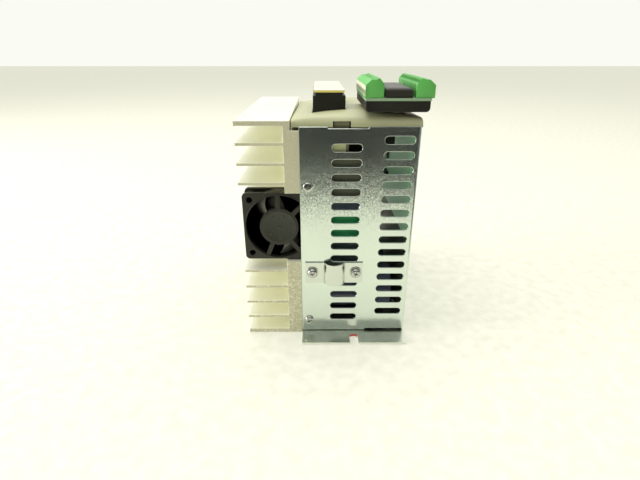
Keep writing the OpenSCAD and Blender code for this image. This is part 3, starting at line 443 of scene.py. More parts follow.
def circle(bm, place, radius, height, count):
    """A ring of vertices round +Z at a height, put in place."""
    points = [(radius * math.cos(turn), radius * math.sin(turn), height) for turn in turns(count)]
    return [bm.verts.new(place @ Vector(point)) for point in points]


def lathe(bm, profile, place, segments=48):
    """A solid of revolution: (radius, height) pairs turned about +Z, then put in place."""
    skin(bm, [circle(bm, place, r, h, segments if r > 0 else 1) for r, h in profile])


def prism(bm, outline, depth, place):
    """An outline of (x, y) pairs, raised along +Z by depth."""
    rings = [[bm.verts.new(place @ Vector((x, y, z))) for x, y in outline] for z in (0, depth)]
    caps(bm, rings)
    skin(bm, rings)


def to_mesh(bm, name):
    bmesh.ops.recalc_face_normals(bm, faces=bm.faces)
    mesh = bpy.data.meshes.new(name)
    bm.to_mesh(mesh)
    bm.free()
    return mesh


def slab_mesh(low, high):
    bm = bmesh.new()
    slab(bm, low, high)
    return to_mesh(bm, "slab")


def linked(name, data):
    """A new object in the scene."""
    made = bpy.data.objects.new(name, data)
    bpy.context.scene.collection.objects.link(made)
    return made


def piece_of(mesh, name, look, body, replaced=(), smooth=35):
    """Links a mesh as a piece of the object. Coordinates in the mesh are millimetres until here."""
    mesh.transform(Matrix.Scale(MM, 4))
    piece = linked(name, mesh)
    mesh.materials.append(LOOKS[look])
    mesh.shade_smooth()
    mesh.set_sharp_from_angle(angle=math.radians(smooth))
    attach(piece, body)
    if replaced:
        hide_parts(*replaced)
    return piece


def carved(mesh, cutters):
    """The mesh less each cutter mesh."""
    body = linked("carve", mesh)
    tools = []
    for cutter in cutters:
        tool = linked("tool", cutter)
        step = body.modifiers.new("cut", "BOOLEAN")
        step.operation, step.solver, step.object = "DIFFERENCE", "EXACT", tool
        tools.append(tool)
    graph = bpy.context.evaluated_depsgraph_get()
    result = bpy.data.meshes.new_from_object(body.evaluated_get(graph))
    for used in [body, *tools]:
        bpy.data.objects.remove(used)
    return result


def stamped(mesh, places, name):
    """One mesh with a copy of the given one at each place."""
    bm = bmesh.new()
    for place in places:
        copy = mesh.copy()
        copy.transform(place)
        bm.from_mesh(copy)
        bpy.data.meshes.remove(copy)
    return to_mesh(bm, name)


def solids(node):
    """Boxes, in millimetres, of the separate solids in a CAD node."""
    bm = bmesh.new()
    bm.from_mesh(nodes[node].data)
    bmesh.ops.remove_doubles(bm, verts=bm.verts, dist=SAME_POINT)
    left, found = set(bm.verts), []
    while left:
        island, front = set(), [next(iter(left))]
        while front:
            vert = front.pop()
            if vert not in island:
                island.add(vert)
                front += [e.other_vert(vert) for e in vert.link_edges]
        left -= island
        co = [v.co / MM for v in island]
        found.append((Vector(map(min, *co)), Vector(map(max, *co))))
    bm.free()
    return sorted(found, key=lambda b: tuple(round(c, 3) for c in b[0]))


def box(node):
    """A CAD node's lowest and highest corner, in millimetres."""
    low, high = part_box(node)
    return low / MM, high / MM


def pointing(at, axis, spin=0.0):
    """Places a shape drawn along +Z so that it stands at a point and points along an axis."""
    aim = axis.to_track_quat("Z", "Y").to_matrix().to_4x4()
    return Matrix.Translation(at) @ aim @ Matrix.Rotation(spin, 4, "Z")


# ---------- CAD pieces: rounded edges ----------

EDGE_WIDTHS = {
    "chassis": 0.25, "heatsink": 0.3, "shield_clamp": 0.2, "clamp_washers": 0.15,
    "clamp_nuts": 0.2, "inner_frame": 0.3, "power_header": 0.3, "power_plug": 0.3,
    "io_tray": 0.4, "io_cap": 0.3, "fan_frame": 0.25, "relay": 0.5,
    "power_module": 0.4, "transformer_core": 0.5, "control_chips": 0.15, "ribbon_sockets": 0.3,
    "board_standoffs": 0.15, "jack_posts": 0.2, "front_connector": 0.2, "fuse_clips": 0.1,
}
for name, width in EDGE_WIDTHS.items():
    soften(name, width)


# ---------- Cover ----------

# The rolled edges, and the part of the cover that keeps its small steps.
EDGE_ROLL = 0.42
STEP_X = 2.0
STEP_Z = 0.6


def cover():
    """The vented cover with its edges rolled over, all but the small steps under the hood's skirt."""
    high = box("vent_cover")[1]
    bm = bmesh.new()
    bm.from_mesh(nodes["vent_cover"].data)
    bmesh.ops.scale(bm, vec=(1 / MM, 1 / MM, 1 / MM), verts=bm.verts)
    bmesh.ops.remove_doubles(bm, verts=bm.verts, dist=SAME_POINT / MM)
    bmesh.ops.dissolve_limit(bm, angle_limit=FLAT_TURN, verts=bm.verts, edges=bm.edges)
    sharp = []
    for edge in bm.edges:
        stepped = all(v.co.x > high.x - STEP_X and v.co.z > high.z - STEP_Z for v in edge.verts)
        if edge.is_manifold and edge.calc_face_angle() > EDGE_TURN and not stepped:
            sharp.append(edge)
    bmesh.ops.bevel(bm, geom=sharp, offset=EDGE_ROLL, segments=2, affect="EDGES", profile=0.5)
    piece = piece_of(to_mesh(bm, "cover"), "vent_cover_rolled", "zinc_sheet", "housing", ["vent_cover"])
    shade_by_area(piece, keep_sharp=True)


cover()


# ---------- Screws ----------

# Cover screws further right than this stand in the right wall.
RIGHT_WALL_SCREWS = 30.0
POINT_L = 0.6
FIRST_SPIN = 0.3
NEXT_SPIN = 0.9


def cross_cut(radius, height, turn):
    """One arm of a screw's cross recess, narrower at its foot."""
    bm = bmesh.new()
    low = (-0.62 * radius, -0.13 * radius, 0.3 * height)
    high = (0.62 * radius, 0.13 * radius, 1.3 * height)
    for vert in slab(bm, low, high):
        if vert.co.z < height:
            vert.co.x *= 0.35
            vert.co.y *= 0.6
    bmesh.ops.rotate(bm, cent=(0, 0, 0), matrix=Matrix.Rotation(turn, 3, "Z"), verts=bm.verts)
    return to_mesh(bm, "cross")


def pan_head(radius, height, shank_r, shank_l):
    """A pan-head screw along +Z with a cross recess: its head stands on z = 0."""
    rise = [math.radians(a) for a in range(0, 91, 15)]
    dome = [(radius * (0.55 + 0.45 * math.cos(a)), height * (0.35 + 0.65 * math.sin(a))) for a in rise]
    shank = [(0, -shank_l), (0.7 * shank_r, -shank_l), (shank_r, POINT_L - shank_l), (shank_r, 0)]
    bm = bmesh.new()
    lathe(bm, [*shank, (0.96 * radius, 0), (radius, 0.08 * height), *dome, (0, 1.02 * height)],
          Matrix.Identity(4))
    return carved(to_mesh(bm, "head"), [cross_cut(radius, height, turn) for turn in (0, QUARTER_TURN)])


def screws(node, axis_of, head_r, head_h, shank_r):
    """Replaces a node of screws, all of one length, with turned ones where each solid's box lies."""
    places = []
    for low, high in solids(node):
        middle = (low + high) / 2
        axis = axis_of(middle)
        reach = abs((high - low).dot(axis))
        head = middle + axis * (reach / 2 - head_h)
        places.append(pointing(head, axis, FIRST_SPIN + NEXT_SPIN * len(places)))
    mesh = stamped(pan_head(head_r, head_h, shank_r, reach - head_h), places, node)
    piece_of(mesh, node + "_turned", "screw_steel", "housing", [node], smooth=50)


def outward(point):
    """Which way the cover's nearest wall faces: near, far or right."""
    if point.x > RIGHT_WALL_SCREWS:
        return X
    return Y if point.y > 0 else -Y


def to_right(point):
    return X


screws("cover_screws", outward, head_r=3.5, head_h=2.0, shank_r=2.0)
screws("clamp_screws", outward, head_r=3.5, head_h=2.4, shank_r=2.0)
for name in ("chassis_screws", "board_screws", "frame_screws", "module_screws"):
    screws(name, to_right, head_r=2.8, head_h=1.8, shank_r=1.5)


# ---------- Fan ----------

fan_axis = Vector(joints["fan_spin"]["pos_m"]) / MM
wheel_low, wheel_high = box("fan_rotor")
fan_face = box("fan_frame")[0].y

# The wheel's cup.
CUP_R = 13.2
CUP_WALL = 1.0
CUP_FLOOR = 1.2
CUP_EDGE = 0.15
SHAFT_HOLE_R = 1.05

# The blades: where they start and end, how far they wrap round the axis, and their thickness.
BLADES = 7
ROOT_R = CUP_R - 0.4
TIP_R = 22.6
ROOT_Y = 0.6
ROOT_ARC = math.radians(57)
TIP_ARC = math.radians(45)
BLADE_SWEEP = math.radians(16)
BLADE_HUMP = 0.16
BLADE_EDGE = 0.12
BLADE_SWELL = 0.5
BLADE_STEPS = 7
CHORD_STEPS = 10

# The motor base's face and the duct's mouth.
MARKS = 7
MARK_RING_R = 8.4
DISH = 0.16
LIP_R = 23.9
LIP_SECTION_R = 0.42
LIP_HEIGHT = 0.1


def on_axis(y, spin=0.0):
    """Places a shape drawn along +Z on the fan's axis, at depth y, pointing along +Y."""
    return pointing(Vector((fan_axis.x, y, fan_axis.z)), Y, spin)


def on_face(spin=0.0):
    """Places a shape drawn along +Z on the fan's near face, pointing out of it."""
    return pointing(Vector((fan_axis.x, fan_face, fan_axis.z)), -Y, spin)


def fan_cup(bm, depth):
    """The wheel's cup, open towards the motor base, with a rounded shoulder."""
    inside = CUP_R - CUP_WALL
    floor = depth - CUP_FLOOR
    outside = [(CUP_R - CUP_EDGE, 0), (CUP_R, CUP_EDGE), (CUP_R, depth - 0.9)]
    shoulder = [(CUP_R - 0.25, depth - 0.3), (CUP_R - 0.9, depth)]
    hole = [(SHAFT_HOLE_R, depth), (SHAFT_HOLE_R, floor)]
    profile = [(inside, 0), *outside, *shoulder, *hole, (inside, floor), (inside, 0)]
    lathe(bm, profile, on_axis(wheel_low.y), 72)


def blade_section(bm, place, reach, depth):
    """A ring round a blade, at a reach of 0 in the cup to 1 at the tip."""
    radius = ROOT_R + (TIP_R - ROOT_R) * reach
    sweep = BLADE_SWEEP * reach ** 1.5
    arc = ROOT_ARC + (TIP_ARC - ROOT_ARC) * reach
    chord = depth - 1.6 - 0.8 * reach
    ring = []
    for side, steps in ((1, range(CHORD_STEPS + 1)), (-1, range(CHORD_STEPS - 1, 0, -1))):
        for step in steps:
            along = step / CHORD_STEPS
            hump = math.sin(math.pi * along)
            thick = BLADE_EDGE + BLADE_SWELL * hump ** 0.7 * (1 - 0.35 * reach)
            turn = sweep - arc * (along + BLADE_HUMP * hump)
            height = 0.4 * reach + chord * along + side * thick / 2
            point = Vector((radius * math.cos(turn), radius * math.sin(turn), height))
            ring.append(bm.verts.new(place @ point))
    return ring


def fan_wheel():
    """The moulded wheel: its cup and twisted blades."""
    depth = wheel_high.y - wheel_low.y
    bm = bmesh.new()
    fan_cup(bm, depth)
    for spin in turns(BLADES):
        place = on_axis(wheel_low.y + ROOT_Y, spin)
        rings = [blade_section(bm, place, step / BLADE_STEPS, depth) for step in range(BLADE_STEPS + 1)]
        skin(bm, rings)
        caps(bm, rings)
    piece_of(to_mesh(bm, "fan_wheel"), "fan_wheel_moulded", "fan_wheel", "fan_wheel", ["fan_rotor"], 45)


def hub_face():
    """The motor base's dished face, with a boss in the middle and a ring of moulding marks."""
    rim = [(12.3, 0), (12.3, 0.2), (12.1, 0.32), (11.7, 0.32), (11.4, DISH)]
    boss = [(1.3, DISH), (1.1, 0.3), (0.7, 0.36), (0, 0.36)]
    mark = [(0, 0), (0.95, 0), (0.95, 0.14), (0.8, 0.2), (0.5, 0.2), (0.42, 0.04), (0, 0.04)]
    bm = bmesh.new()
    lathe(bm, [(0, 0), *rim, *boss], on_face(), 72)
    for i in range(MARKS):
        spot = on_face(2 * math.pi * (i + 0.3) / MARKS) @ Matrix.Translation((MARK_RING_R, 0, DISH))
        lathe(bm, mark, spot, 20)
    piece_of(to_mesh(bm, "fan_hub_face"), "fan_hub_face", "fan_hub", "housing")


def duct_lip():
    """The lip round the duct's mouth."""
    around = [LIP_SECTION_R * Vector((math.cos(turn), math.sin(turn))) for turn in turns(14)]
    lip = [(LIP_R + point.x, LIP_HEIGHT + point.y) for point in around]
    bm = bmesh.new()
    lathe(bm, [*lip, lip[0]], on_face(), 96)
    piece_of(to_mesh(bm, "fan_lip"), "fan_lip", "fan_black", "housing")


fan_wheel()
hub_face()
duct_lip()


# ---------- Chassis ----------

# The red mark's start, sweep in degrees and steps, round the slot's end.
MARK_START = 35
MARK_SWEEP = 110
MARK_STEPS = 12


def slot_mark():
    """The thin red mark that laps over the round end of the flange's slot."""
    mount = next(m for m in record["mounts"] if m["name"] == "near_slot")
    middle = Vector(mount["pos_m"]) / MM
    section = [(3.24, 0.2), (3.24, 1.56), (3.82, 1.56), (3.82, 1.45)]
    bm = bmesh.new()
    rings = []
    for step in range(MARK_STEPS + 1):
        turn = math.radians(MARK_START + MARK_SWEEP * step / MARK_STEPS)
        points = [(middle.x + r * math.cos(turn), middle.y + r * math.sin(turn), z) for r, z in section]
        rings.append([bm.verts.new(point) for point in points])
    skin(bm, rings)
    caps(bm, rings)
    piece_of(to_mesh(bm, "slot_mark"), "slot_mark", "mark_red", "housing")


slot_mark()


# ---------- Hood ----------

CREST_Y = -60.0
CREST_Z = 166.6
CROWN_R = 210.0
CROWN_FALL = math.tan(math.radians(2.1))
NOSE_R = 21.5
NOSE_BLEND = 1.6
HOOD_WALL = 2.0
LEAST_HEIGHT = 0.3

# The roof's edges: how far in the left side stands, how far each edge is rounded, and the faces between.
LEFT_DRAFT = 0.6
LEFT_ROUND = 0.6
RIGHT_ROUND = 1.3
NEAR_ROUND = 3.4
FAR_ROUND = 1.6
STEPS_ACROSS = 26
STEPS_ALONG = 44

# The openings for the header, for the connector and for the frame's catches, and how far the cutters run on.
HEADER_GAP = Vector((0.6, 0.6, 0))
SHELL_GAP = Vector((0.75, 0.8, 0))
WINDOW_X = (-17.6, -6.1)
WINDOW_TOP = 161.1
WINDOW_DEPTH = 3.5
CUT_BELOW = 2
CUT_ABOVE = 5


def roof(x, y, inset):
    """Height of the hood's top: the crown, blended into the rounded nose at the near end."""
    crown = CREST_Z - (CROWN_R - math.sqrt(CROWN_R ** 2 - x * x)) - (y - CREST_Y) * CROWN_FALL
    if y >= CREST_Y:
        return crown - inset
    nose = CREST_Z - NOSE_R + math.sqrt(NOSE_R ** 2 - (y - CREST_Y) ** 2)
    share = min(1, max(0, 0.5 + 0.5 * (nose - crown) / NOSE_BLEND))
    return nose + (crown - nose) * share - NOSE_BLEND * share * (1 - share) - inset


def stations(low, high, round_low, round_high, steps):
    """Places along one side of the hood, closer together at its rounded edges, and each one's drop."""
    angles = [math.radians(a) for a in range(0, 90, 15)]
    inner = [low + round_low + (high - low - round_low - round_high) * i / steps for i in range(steps + 1)]
    near = [(low + round_low * (1 - math.cos(t)), round_low * (1 - math.sin(t))) for t in angles]
    far = [(high - round_high * (1 - math.cos(t)), round_high * (1 - math.sin(t))) for t in reversed(angles)]
    return near + [(at, 0.0) for at in inner] + far


def hood_solid(low, high, inset, floor):
    """A solid block under the roof, drawn in by inset and cut off level at the floor."""
    across = stations(low.x + LEFT_DRAFT + inset, high.x - inset, LEFT_ROUND, RIGHT_ROUND, STEPS_ACROSS)
    along = stations(low.y + inset, high.y - inset, NEAR_ROUND, FAR_ROUND, STEPS_ALONG)
    sides = (across[0][0], across[-1][0])
    ends = (along[0][0], along[-1][0])
    bm = bmesh.new()
    top = [[bm.verts.new((x, y, max(floor + LEAST_HEIGHT, roof(x, y, inset) - x_drop - y_drop)))
            for x, x_drop in across] for y, y_drop in along]
    foot = [[bm.verts.new((x, y, floor)) if x in sides or y in ends else None
             for x, _ in across] for y, _ in along]
    skin(bm, top, closed=False)
    for end in (0, -1):
        skin(bm, [foot[end], top[end]], closed=False)
    for end in (0, -1):
        skin(bm, [[row[end] for row in foot], [row[end] for row in top]], closed=False)
    right = [row[-1] for row in foot[1:-1]]
    left = [row[0] for row in foot[-2:0:-1]]
    bm.faces.new(foot[0] + right + foot[-1][::-1] + left)
    return to_mesh(bm, "hood_solid")


def hood():
    """The moulded shell: the outer block less the inner one and its openings."""
    low, high = box("hood")
    below = low.z - CUT_BELOW
    cutters = [hood_solid(low, high, HOOD_WALL, low.z - 1)]
    for node, gap in (("power_header", HEADER_GAP), ("front_connector_shell", SHELL_GAP)):
        part_low, part_high = box(node)
        first, last = part_low - gap, part_high + gap
        cutters.append(slab_mesh((first.x, first.y, below), (last.x, last.y, high.z + CUT_ABOVE)))
    for near, far in ((low.y - 1, low.y + WINDOW_DEPTH), (high.y - WINDOW_DEPTH, high.y + 1)):
        cutters.append(slab_mesh((WINDOW_X[0], near, below), (WINDOW_X[1], far, WINDOW_TOP)))
    shell = carved(hood_solid(low, high, 0, low.z), cutters)
    piece_of(shell, "hood_moulded", "hood_beige", "housing", ["hood"], smooth=38)


hood()


# ---------- Inner frame ----------

apron_y = box("inner_frame")[0].y

# The sheet stuck on the apron, its ribs, and the pad above it.
SHEET_X = (-20.2, 3.8)
SHEET_Z = (110.1, 139.0)
SHEET_T = 0.2
SHEET_OFF = 0.32
SHEET_CORNER = 0.4
RIB_HEIGHTS = (114.5, 124.5, 134.5)
RIB_HALF = 0.3
RIB_T = 0.2
RIB_INSET = 0.6
PAD_X = (-20.4, -8.9)
PAD_Z = (139.4, 151.0)
PAD_T = 0.3
OFF_APRON = 0.02


def apron_sheet():
    """Insulating sheet on the inner frame's apron, behind the left column's upper slots, with three ribs."""
    (left, right), (foot, top), cut = SHEET_X, SHEET_Z, SHEET_CORNER
    outline = [
        (left, foot + cut), (left + cut, foot), (right - cut, foot), (right, foot + cut),
        (right, top - cut), (right - cut, top), (left + cut, top), (left, top - cut),
    ]
    bm = bmesh.new()
    prism(bm, outline, SHEET_T, Matrix.Translation((0, apron_y + SHEET_OFF, 0)) @ UPRIGHT)
    for z in RIB_HEIGHTS:
        slab(bm, (left + RIB_INSET, apron_y + OFF_APRON, z - RIB_HALF),
             (right - RIB_INSET, apron_y + RIB_T, z + RIB_HALF))
    piece_of(to_mesh(bm, "apron_sheet"), "apron_sheet", "sheet_olive", "housing")


def apron_pad():
    """The lighter pad above the sheet."""
    pad = slab_mesh((PAD_X[0], apron_y + OFF_APRON, PAD_Z[0]), (PAD_X[1], apron_y + PAD_T, PAD_Z[1]))
    piece_of(pad, "apron_pad", "pad_beige", "housing")


apron_sheet()
apron_pad()


# ---------- Terminal module ----------

block_low, block_high = box("io_block_left")
right_block_high = box("io_block_right")[1]
POLES = 13
PITCH = (block_high.y - block_low.y) / POLES
MIRROR_X = (block_low.x + right_block_high.x) / 2

# A pole and the web behind its grooves, in X and Z from the block's foot.
GROOVE_HALF = 0.6
POLE_PROFILE = [(2, 0), (2, 7.7), (5.9, 10.9), (7.9, 10.5), (10.7, 11.7), (13.7, 8.1), (13.5, 0)]
POLE_ROUND = 0.14
WEB_PROFILE = [(2.3, 0), (2.3, 6.9), (6.1, 8.8), (7.9, 8.4), (9.4, 8.9), (11.6, 6.6), (12.6, 0)]
WEB_T = 1.3

# The wire entries, the screw wells and the cream strip round the entries, a painted reflection of the tin
# clamps inside.
ENTRY_HALF = 1.7
ENTRY_FOOT = 1.6
ENTRY_TOP = 5.2
ENTRY_DEPTH = 9
SCREW_X = 12.2
SCREW_Z = 9.9
SCREW_TILT = math.radians(50.2)
SCREW_WELL = [(0, -2), (1.7, -2), (1.7, -0.3), (2.1, 0.2), (2.1, 3), (0, 3)]
STRIP_X = (1.94, 2.1)
STRIP_Z = (1.2, 7.3)
STRIP_WINDOW_TOP = 4.6
STRIP_END = 0.2


def pole_y(index):
    """A pole's middle, from the block's. A half is a groove."""
    return (index + 0.5 - POLES / 2) * PITCH


def terminal_pole():
    """One pole, drawn with X across, Z up and its middle at y = 0."""
    half = PITCH / 2 - GROOVE_HALF
    bm = bmesh.new()
    prism(bm, POLE_PROFILE, 2 * half, Matrix.Translation((0, half, 0)) @ UPRIGHT)
    bmesh.ops.bevel(bm, geom=bm.edges[:], offset=POLE_ROUND, segments=2, affect="EDGES", profile=0.5)
    body = to_mesh(bm, "pole")
    entry = slab_mesh((1, -ENTRY_HALF, ENTRY_FOOT), (ENTRY_DEPTH, ENTRY_HALF, ENTRY_TOP))
    bm = bmesh.new()
    lathe(bm, SCREW_WELL, Matrix.Translation((SCREW_X, 0, SCREW_Z)) @ Matrix.Rotation(SCREW_TILT, 4, "Y"), 32)
    return carved(body, [entry, to_mesh(bm, "well")])


def terminal_web():
    """The joined web behind the poles' grooves."""
    bm = bmesh.new()
    for i in range(POLES - 1):
        groove = pole_y(i + 0.5)
        prism(bm, WEB_PROFILE, WEB_T, Matrix.Translation((0, groove + WEB_T / 2, 0)) @ UPRIGHT)
    return to_mesh(bm, "web")


def terminal_blocks():
    """The two blocks, the right one a mirror image of the left, each with its cream strip of painted
    reflection round the entries.
    """
    middle = Matrix.Translation((0, (block_low.y + block_high.y) / 2, block_low.z))
    flip = Matrix.Translation((2 * MIRROR_X, 0, 0)) @ Matrix.Scale(-1, 4, X)
    rows = [Matrix.Translation((0, pole_y(i), 0)) for i in range(POLES)]
    pole, web = terminal_pole(), terminal_web()
    for side, turn in (("left", Matrix.Identity(4)), ("right", flip)):
        bm = bmesh.new()
        bm.from_mesh(stamped(pole, [turn @ middle @ row for row in rows], "poles"))
        bm.from_mesh(stamped(web, [turn @ middle], "webs"))
        node = f"io_block_{side}"
        piece_of(to_mesh(bm, node), node + "_moulded", "terminal_green", "terminal_module", [node])
        painted_reflection_strip(side, turn @ middle)


def painted_reflection_strip(side, place):
    """A cream comb-like strip round the wire entries: its cream is a painted reflection of light off the tin
    clamps inside.
    """
    half = POLES * PITCH / 2 - STRIP_END
    strip_low = (STRIP_X[0], -half, STRIP_Z[0])
    strip_high = (STRIP_X[1], half, STRIP_Z[1])
    cutters = []
    for i in range(POLES):
        y = pole_y(i)
        cutters.append(slab_mesh((1, y - ENTRY_HALF, ENTRY_FOOT), (3, y + ENTRY_HALF, STRIP_WINDOW_TOP)))
    plate = carved(slab_mesh(strip_low, strip_high), cutters)
    plate.transform(place)
    if side == "right":
        plate.flip_normals()
    piece_of(plate, f"io_entry_strip_{side}", "marker_cream", "terminal_module")


terminal_blocks()


# ---------- Inside ----------

# Capacitors: the beaded groove near the foot, and the cross scored in the top.
BEAD_AT = 5
BEAD_W = 1.6
BEAD_DEPTH = 0.8
BEAD_STEPS = 8
SCORE_SPIN = 0.4
SCORE_HALF = 0.2
SCORE_TOP = 0.45
SCORE_SHORT = 3.5

# Choke: where its two windings start, how far each spreads in degrees, and its wire.
TURN_STARTS = (27, 207)
TURN_SPREAD = 126
TURNS = 10
WINDING_WIRE_R = 0.98
CORE_HALF = 4
# The winding's solids narrower than this are its leads.
LEAD_WIDTH = 4

# Ribbon cable: half its thickness, its first run and its folds.
RIBBON_HALF = 0.44
CONDUCTOR_PITCH = 1.27
FIRST_RUN = 12
FOLD_R = 2.0
RIB_SHARE = 0.92


def capacitors():
    """Sleeved cans of one size with a beaded groove, and scored bare tops."""
    cans, tops = bmesh.new(), bmesh.new()
    scores = [[], []]
    for low, high in solids("bus_capacitors"):
        radius, length = (high.y - low.y) / 2, high.x - low.x
        place = pointing(Vector((low.x, (low.y + high.y) / 2, (low.z + high.z) / 2)), X)
        bead = [
            (radius - BEAD_DEPTH * math.sin(math.pi * i / BEAD_STEPS), BEAD_AT + BEAD_W * i / BEAD_STEPS)
            for i in range(BEAD_STEPS + 1)
        ]
        rim = [(radius, length - 0.8), (radius - 0.3, length - 0.2), (radius - 0.8, length)]
        top = [(radius - 1.8, length - 0.1), (radius - 2.0, length - 0.5), (0, length - 0.5)]
        disc_r = radius - 2.2
        disc = [(0, length - 0.6), (disc_r, length - 0.6), (disc_r, length - 0.35), (0, length - 0.3)]
        lathe(cans, [(0, 0), (radius - 0.4, 0), (radius, 0.4), *bead, *rim, *top], place)
        lathe(tops, disc, place)
        for way, spin in zip(scores, (SCORE_SPIN, SCORE_SPIN + QUARTER_TURN)):
            way.append(place @ Matrix.Translation((0, 0, length)) @ Matrix.Rotation(spin, 4, "Z"))
        reach = radius - SCORE_SHORT
    piece_of(to_mesh(cans, "cans"), "capacitor_cans", "sleeve_blue", "housing", ["bus_capacitors"])
    score = slab_mesh((-reach, -SCORE_HALF, -SCORE_TOP), (reach, SCORE_HALF, 1))
    cuts = [stamped(score, way, "scores") for way in scores]
    piece_of(carved(to_mesh(tops, "tops"), cuts), "capacitor_tops", "can_aluminium", "housing")


def tube(bm, path, radius, closed, sides=8):
    """A round wire along a path of points."""
    rings = []
    last = len(path) - 1
    for i, at in enumerate(path):
        before = path[i - 1] if closed or i > 0 else at
        after = path[(i + 1) % len(path)] if closed or i < last else at
        rings.append(circle(bm, pointing(at, after - before), radius, 0, sides))
    if closed:
        skin(bm, rings + rings[:1])
    else:
        skin(bm, rings)
        caps(bm, rings)


def winding_path(centre, out, half_thick):
    """One turn round the core's section: a rectangle with corners rounded by the wire's radius."""
    path = []
    for quarter in range(4):
        towards = math.radians(90 * quarter + 45)
        across = X * math.copysign(half_thick, math.cos(towards))
        corner = centre + across + out * math.copysign(CORE_HALF, math.sin(towards))
        for a in range(0, 91, 18):
            turn = math.radians(90 * quarter + a)
            path.append(corner + (X * math.cos(turn) + out * math.sin(turn)) * WINDING_WIRE_R)
    return path


def choke_turns():
    """The ring choke's two windings, turn by turn, and their leads."""
    low, high = box("choke_core")
    middle, outer = (low + high) / 2, (high.y - low.y) / 2
    bm = bmesh.new()
    for start in TURN_STARTS:
        for i in range(TURNS):
            angle = math.radians(start + TURN_SPREAD * i / (TURNS - 1))
            out = Vector((0, math.sin(angle), -math.cos(angle)))
            path = winding_path(middle + out * (outer - CORE_HALF), out, (high.x - low.x) / 2)
            tube(bm, path, WINDING_WIRE_R, closed=True)
    for low, high in solids("choke_winding"):
        if high.y - low.y < LEAD_WIDTH:
            at = (low + high) / 2
            lead = [Vector((x, at.y, at.z)) for x in (low.x, high.x)]
            tube(bm, lead, WINDING_WIRE_R, closed=False)
    piece_of(to_mesh(bm, "turns"), "choke_turns", "copper", "housing", ["choke_winding"], 60)


def ribbon_path(low, high):
    """The cable's run in X and Z: along, up through two bends, and along again."""
    upright = low.x + FIRST_RUN - RIBBON_HALF
    lower = (upright - FOLD_R, low.z + RIBBON_HALF + FOLD_R, -90, 1)
    upper = (upright + FOLD_R, high.z - RIBBON_HALF - FOLD_R, 180, -1)
    path = [(low.x, low.z + RIBBON_HALF)]
    for x, z, start, way in (lower, upper):
        for a in range(0, 91, 15):
            turn = math.radians(start + way * a)
            path.append((x + FOLD_R * math.cos(turn), z + FOLD_R * math.sin(turn)))
    return path + [(high.x, high.z - RIBBON_HALF)]


def ribbon_section(low, high):
    """The sheath's outline across the cable, with a rib for each conductor."""
    ribs = round((high.y - low.y) / CONDUCTOR_PITCH)
    pitch = (high.y - low.y) / ribs
    start = (1 - RIB_SHARE) / 2
    section = []
    for side, order in ((1, range(ribs)), (-1, reversed(range(ribs)))):
        for rib in order:
            for quarter in range(5):
                across = quarter / 4 if side > 0 else 1 - quarter / 4
                swell = 0.5 + 0.5 * math.sin(math.pi * across)
                y = low.y + pitch * (rib + start + RIB_SHARE * across)
                section.append((y, side * RIBBON_HALF * swell))
    return section


def ribbon():
    """The flat cable's ribbed sheath."""
    low, high = box("ribbon_cable")
    path, section = ribbon_path(low, high), ribbon_section(low, high)
    bm = bmesh.new()
    rings = []
    for i, (x, z) in enumerate(path):
        before, after = path[max(0, i - 1)], path[min(len(path) - 1, i + 1)]
        way = Vector((after[0] - before[0], 0, after[1] - before[1])).normalized()
        up = way.cross(Y)
        rings.append([bm.verts.new(Vector((x, y, z)) + up * h) for y, h in section])
    skin(bm, rings)
    caps(bm, rings)
    piece_of(to_mesh(bm, "ribbon"), "ribbon_ribbed", "ribbon_grey", "housing", ["ribbon_cable"])


capacitors()
choke_turns()
ribbon()


# ---------- Stage, in metres ----------

FLOOR_HALF = 6.0
FLOOR_Z = -0.0002
FLOOR_GLOW = 0.37
CARD_LOW = (-1.6, -3.0, 0.0008)
CARD_HIGH = (1.6, -0.36, 0.001)
CARD_FADE = (-0.64, -0.28)

# The world's dark front: how it fades in towards -Y, and out towards the zenith.
FRONT_FADE = (-0.05, -0.45)
HEIGHT_FADE = (0.85, 0.45)
WORLD_LIGHT = 0.9
FRONT_LIGHT = 0.07

LIGHT_COLOUR = (1.0, 0.99, 0.95)
UNIT_MIDDLE = (0, 0, 0.08)
CAMERA_AT = (-0.0268, -0.3466, 0.2022)
CAMERA_DOWN = 24.33
CAMERA_RIGHT = 0.2
LENS = 23.6


def pale_floor():
    """A pale mottled floor that glows a little."""
    bm = bmesh.new()
    bmesh.ops.create_grid(bm, x_segments=1, y_segments=1, size=FLOOR_HALF)
    mesh = bpy.data.meshes.new("floor")
    bm.to_mesh(mesh)
    bm.free()
    look = Look("floor")
    mottle = look.noise(9, detail=5)
    base = look.mix(look.ramp(mottle, 0, 1), (0.50, 0.50, 0.41), (0.57, 0.57, 0.48))
    glow = look.mix(look.ramp(mottle, 0, 1), (0.92, 0.92, 0.80), (1.0, 1.0, 0.89))
    mesh.materials.append(look.done(
        Base_Color=base, Roughness=0.9, Specular_IOR_Level=0.1, Emission_Color=glow,
        Emission_Strength=FLOOR_GLOW, Normal=look.bump(mottle, 0.1),
    ))
    made = linked("floor", mesh)
    made.location.z = FLOOR_Z


def dark_card():
    """A dark area of floor in front that only reflections see, fading out towards the unit."""
    mesh = slab_mesh(CARD_LOW, CARD_HIGH)
    look = Look("dark_card")
    along = look.node("ShaderNodeSeparateXYZ", {"Vector": look.place}).outputs["Y"]
    mesh.materials.append(look.done(
        Base_Color=(0.02, 0.022, 0.022), Roughness=1.0, Specular_IOR_Level=0.0,
        Alpha=look.ramp(along, 1, 0, *CARD_FADE),
    ))
    made = linked("dark_card", mesh)
    made.visible_camera = False
    made.visible_diffuse = False
    made.visible_shadow = False
    made.visible_transmission = False


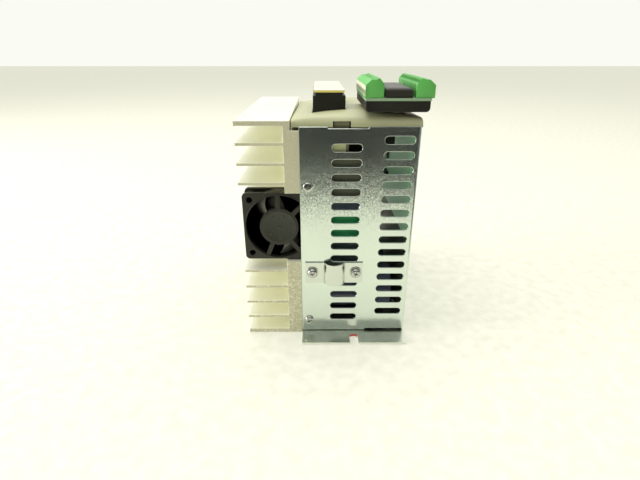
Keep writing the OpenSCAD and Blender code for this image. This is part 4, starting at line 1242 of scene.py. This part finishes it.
def fade(tree, value, span, ends=(0, 1)):
    """Goes from one end to the other as the value crosses the span."""
    inputs = {"Value": value, "From Min": span[0], "From Max": span[1], "To Min": ends[0], "To Max": ends[1]}
    return add_node(tree, "ShaderNodeMapRange", inputs).outputs["Result"]


def world():
    """Soft light from all round and above, and a dark room in front of the unit."""
    scene = bpy.context.scene
    scene.world = bpy.data.worlds.new("studio")
    scene.world.use_nodes = True
    tree = scene.world.node_tree
    tree.nodes.clear()
    place = add_node(tree, "ShaderNodeTexCoord", {}).outputs["Generated"]
    way = add_node(tree, "ShaderNodeSeparateXYZ", {"Vector": place}).outputs
    front = fade(tree, way["Y"], FRONT_FADE)
    low = fade(tree, way["Z"], HEIGHT_FADE)
    dim = add_node(tree, "ShaderNodeMath", {0: front, 1: low}, operation="MULTIPLY").outputs[0]
    level = fade(tree, dim, (0, 1), (WORLD_LIGHT, FRONT_LIGHT))
    light = add_node(tree, "ShaderNodeBackground", {"Color": (1.0, 1.0, 0.955), "Strength": level})
    seen = add_node(tree, "ShaderNodeBackground", {"Color": (0.955, 0.965, 0.90), "Strength": 1.0})
    by_camera = add_node(tree, "ShaderNodeLightPath", {}).outputs["Is Camera Ray"]
    choice = add_node(tree, "ShaderNodeMixShader", {0: by_camera, 1: light.outputs[0], 2: seen.outputs[0]})
    add_node(tree, "ShaderNodeOutputWorld", {"Surface": choice.outputs[0]})


def soft_box(name, location, size, power, target=UNIT_MIDDLE):
    """A round area light turned towards its target."""
    light = bpy.data.lights.new(name, "AREA")
    light.shape = "DISK"
    light.size = size
    light.energy = power
    light.color = LIGHT_COLOUR
    lamp = linked(name, light)
    lamp.location = location
    lamp.rotation_euler = (Vector(target) - Vector(location)).to_track_quat("-Z", "Y").to_euler()


def camera():
    """The camera in front of the near panel, above it and looking down."""
    data = bpy.data.cameras.new("camera")
    data.sensor_width = 36
    data.lens = LENS
    data.clip_start = 0.01
    made = linked("camera", data)
    made.location = CAMERA_AT
    made.rotation_euler = (math.radians(90 - CAMERA_DOWN), 0, math.radians(-CAMERA_RIGHT))
    bpy.context.scene.camera = made


pale_floor()
dark_card()
world()
soft_box("key", (-0.5, 0.1, 1.5), size=1.2, power=8.5)
soft_box("top", (0.3, 0.4, 1.6), size=1.4, power=7.5)
soft_box("left", (-1.6, -0.15, 0.45), size=1.0, power=20, target=(-0.05, 0, 0.08))
camera()
bpy.context.scene.view_settings.view_transform = "Standard"
